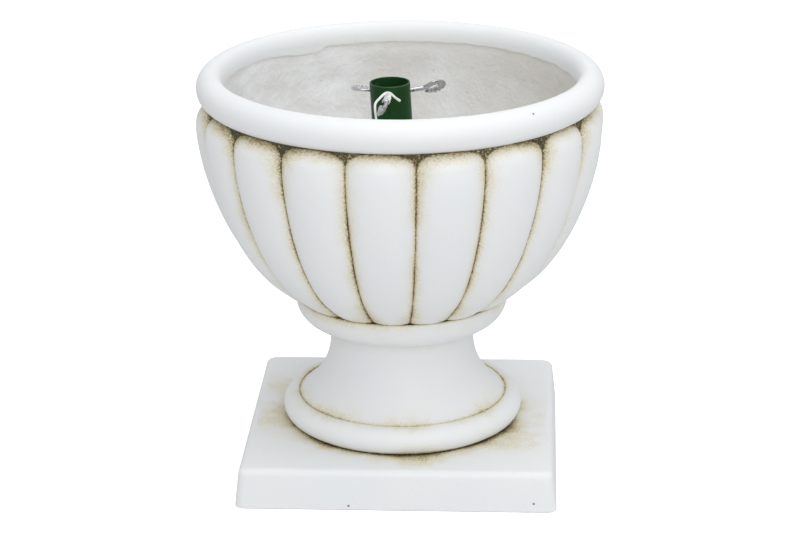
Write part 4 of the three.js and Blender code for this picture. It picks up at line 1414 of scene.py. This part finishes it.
# %% The tie's free strand
TIE_WIDTH, TIE_THICKNESS, TIE_BLUNT = 2.4 * MM, 0.9 * MM, 0.5 * MM
TIE_ROUTE = (  # from the eye's middle, in eye diameters: outwards, across, off its face
    (0.07, 0.53, -0.52), (0.09, 0.56, -0.26), (0.05, 0.59, 0), (0, 0.475, 0.18), (0.14, 0.22, 0.28),
    (0.27, -0.04, 0.33), (0.41, -0.25, 0.21), (0.41, -0.545, 0), (0.39, -0.89, -0.22),
    (0.36, -1.235, -0.43),
)

route = [Vector((EYE_MIDDLE + out * EYE_OUTER, over * EYE_OUTER, off * EYE_OUTER))
         for out, over, off in TIE_ROUTE]
strand_line = densified(smooth_line(route, 10), TIE_BLUNT)
strand_numbers = {"width": TIE_WIDTH, "thickness": TIE_THICKNESS, "thin": (1, 0, 0.3)}
strand_rows = bar_rows(strand_line, turns["front"], lambda share, run: strand_numbers, TIE_BLUNT)
strand = grow("tie_strand", strand_rows, (bent, {
    "Sides": 20, "Roughness": 0.25 * MM, "Material": white_plastic,
}))
settle(strand, "front_bolt", "white_plastic", "twist_tie")

# %% The tie's turns round the eye
WRAPS, WRAP_STEPS = 6, 135
WRAP_START, WRAP_END = math.radians(42), math.radians(118)
WRAP_WIDTH, WRAP_THICKNESS, WRAP_LIFT = 1.9 * MM, 1.0 * MM, 0.6 * MM

wound, off_bar = [], []
for share in np.linspace(0, 1, WRAP_STEPS + 1):
    round_eye = WRAP_START + (WRAP_END - WRAP_START) * share
    across_bar = 2 * math.pi * WRAPS * share
    out_of_eye = Vector((math.cos(round_eye), math.sin(round_eye), 0))
    lift = out_of_eye * math.cos(across_bar) * (EYE_WIDTH / 2 + WRAP_LIFT)
    lift.z = math.sin(across_bar) * (EYE_THICKNESS / 2 + WRAP_LIFT)
    on_eye = out_of_eye * EYE_LOOP
    on_eye.z = SCREWS["front"][3] * on_eye.x
    wound.append(Vector((EYE_MIDDLE, 0, 0)) + on_eye + lift)
    off_bar.append(lift.normalized())


def wrap_numbers(share, run):
    """A flat section whose thin side always faces off the bar."""
    return {"width": WRAP_WIDTH, "thickness": WRAP_THICKNESS, "thin": off_bar[round(share * WRAP_STEPS)]}


wraps = grow("tie_wraps", bar_rows(wound, turns["front"], wrap_numbers, TIE_BLUNT), (bent, {
    "Sides": 16, "Roughness": 0.12 * MM, "Material": white_plastic,
}))
settle(wraps, "front_bolt", "white_plastic")

# %% [markdown]
# ## Bolts that nobody sees
#
# Four bolts clamp plate, bowl floor and pedestal together, and four hold the pedestal on the plinth
# from below. A hexagon is a round that is cut off by six flats, so a chamfered head is one row of
# points more in the profile. The ring of copies then turns one fastener into four.

# %% Profiles of bolts, nuts, washers and sleeves
BOLT, HEX, HEX_CORNER, HEAD = 3 * MM, 10 * MM, 5.78 * MM, 4 * MM
HEX_EDGE, FLAT_EDGE, BEARING_EDGE = 0.45 * MM, 0.15 * MM, 0.3 * MM
WASHER, WASHER_HOLE, SLEEVE = 7 * MM, 3.4 * MM, 6 * MM
CHAMFER, PIPE_EDGE, BORE_GAP = 0.5 * MM, 0.2 * MM, 0.3 * MM
PITCH, ROWS_PER_PITCH, THREAD_DEPTH = 1.0 * MM, 4, 0.3 * MM


def bolt_rows(bearing, length, up):
    """A hexagon bolt whose head's bearing face is at a height; the shank goes up or down."""
    end = length + HEAD
    shank = numbered([(0, 0), (BOLT - CHAMFER, 0), (BOLT, CHAMFER)])
    winding = np.linspace(CHAMFER, length - HEAD, round(length / PITCH * ROWS_PER_PITCH))
    winding = numbered([(BOLT, z) for z in winding], threaded=1)
    head = numbered([(BOLT, length), (HEX / 2 - FLAT_EDGE, length), (HEX_CORNER, length + BEARING_EDGE),
                     (HEX_CORNER, end - HEX_EDGE), (HEX / 2 - FLAT_EDGE, end), (0, end)])
    rows = shank + winding + head
    if up:
        return [((r, 0.0, bearing + length - z), numbers) for (r, _, z), numbers in rows[::-1]]
    return [((r, 0.0, bearing - length + z), numbers) for (r, _, z), numbers in rows]


def nut_rows(low, high, bore):
    """A hexagon ring, chamfered above and below, closed."""
    flat = HEX / 2 - FLAT_EDGE
    return numbered([(bore, low), (flat, low), (HEX_CORNER, low + HEX_EDGE), (HEX_CORNER, high - HEX_EDGE),
                     (flat, high), (bore, high), (bore, low)])


def pipe_rows(low, high, bore, outer):
    """A round ring with small chamfers, closed."""
    return numbered([(bore, low), (outer - PIPE_EDGE, low), (outer, low + PIPE_EDGE),
                     (outer, high - PIPE_EDGE), (outer - PIPE_EDGE, high), (bore, high), (bore, low)])


def heights(node):
    """Bottom and top of a solid of the frame."""
    return (corner.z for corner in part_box(node))


# %% Four of each, in their rings
HEX_TURN = math.radians(30)
NO_FLATS = 1.0  # metres: wider than any fastener
CLAMP_RADIUS = CLAMP_OFFSET * math.sqrt(2)
FOOT_RADIUS = (FOOT_LAND + LAND_OUTER) / 2


def ringed(name, rows, radius, material, slot, node, flats=HEX):
    """Four copies of a fastener as one piece, which stands for four solids."""
    piece = grow(name, rows, (turned, {
        "Lobes": 6, "Steps per Lobe": 8, "Turn": HEX_TURN, "Flats Width": flats, "Thread Pitch": PITCH,
        "Thread Depth": THREAD_DEPTH, "Material": material,
    }), (ring, {"Copies": 4, "Circle Radius": radius, "First Angle": math.pi / 4}), sharp=28)
    settle(piece, "root", slot, *[f"{node}_{i}" for i in range(1, 5)])


low, high = heights("clamp_bolt_1")
ringed("clamp_bolts", bolt_rows(high - HEAD, 45 * MM, False), CLAMP_RADIUS, zinc, "zinc", "clamp_bolt")
low, high = heights("foot_bolt_1")
ringed("foot_bolts", bolt_rows(low + HEAD, 35 * MM, True), FOOT_RADIUS, zinc, "zinc", "foot_bolt")
for node, radius in (("clamp_washer", CLAMP_RADIUS), ("foot_washer", FOOT_RADIUS)):
    washer = pipe_rows(*heights(node + "_1"), WASHER_HOLE, WASHER)
    ringed(node + "s", washer, radius, zinc, "zinc", node, flats=NO_FLATS)
nut = nut_rows(*heights("clamp_nut_1"), BOLT + BORE_GAP)
ringed("clamp_nuts", nut, CLAMP_RADIUS, zinc, "zinc", "clamp_nut")
sleeve = pipe_rows(*heights("foot_insert_1"), BOLT + BORE_GAP, SLEEVE)
ringed("foot_sleeves", sleeve, FOOT_RADIUS, brass, "brass", "foot_insert", flats=NO_FLATS)
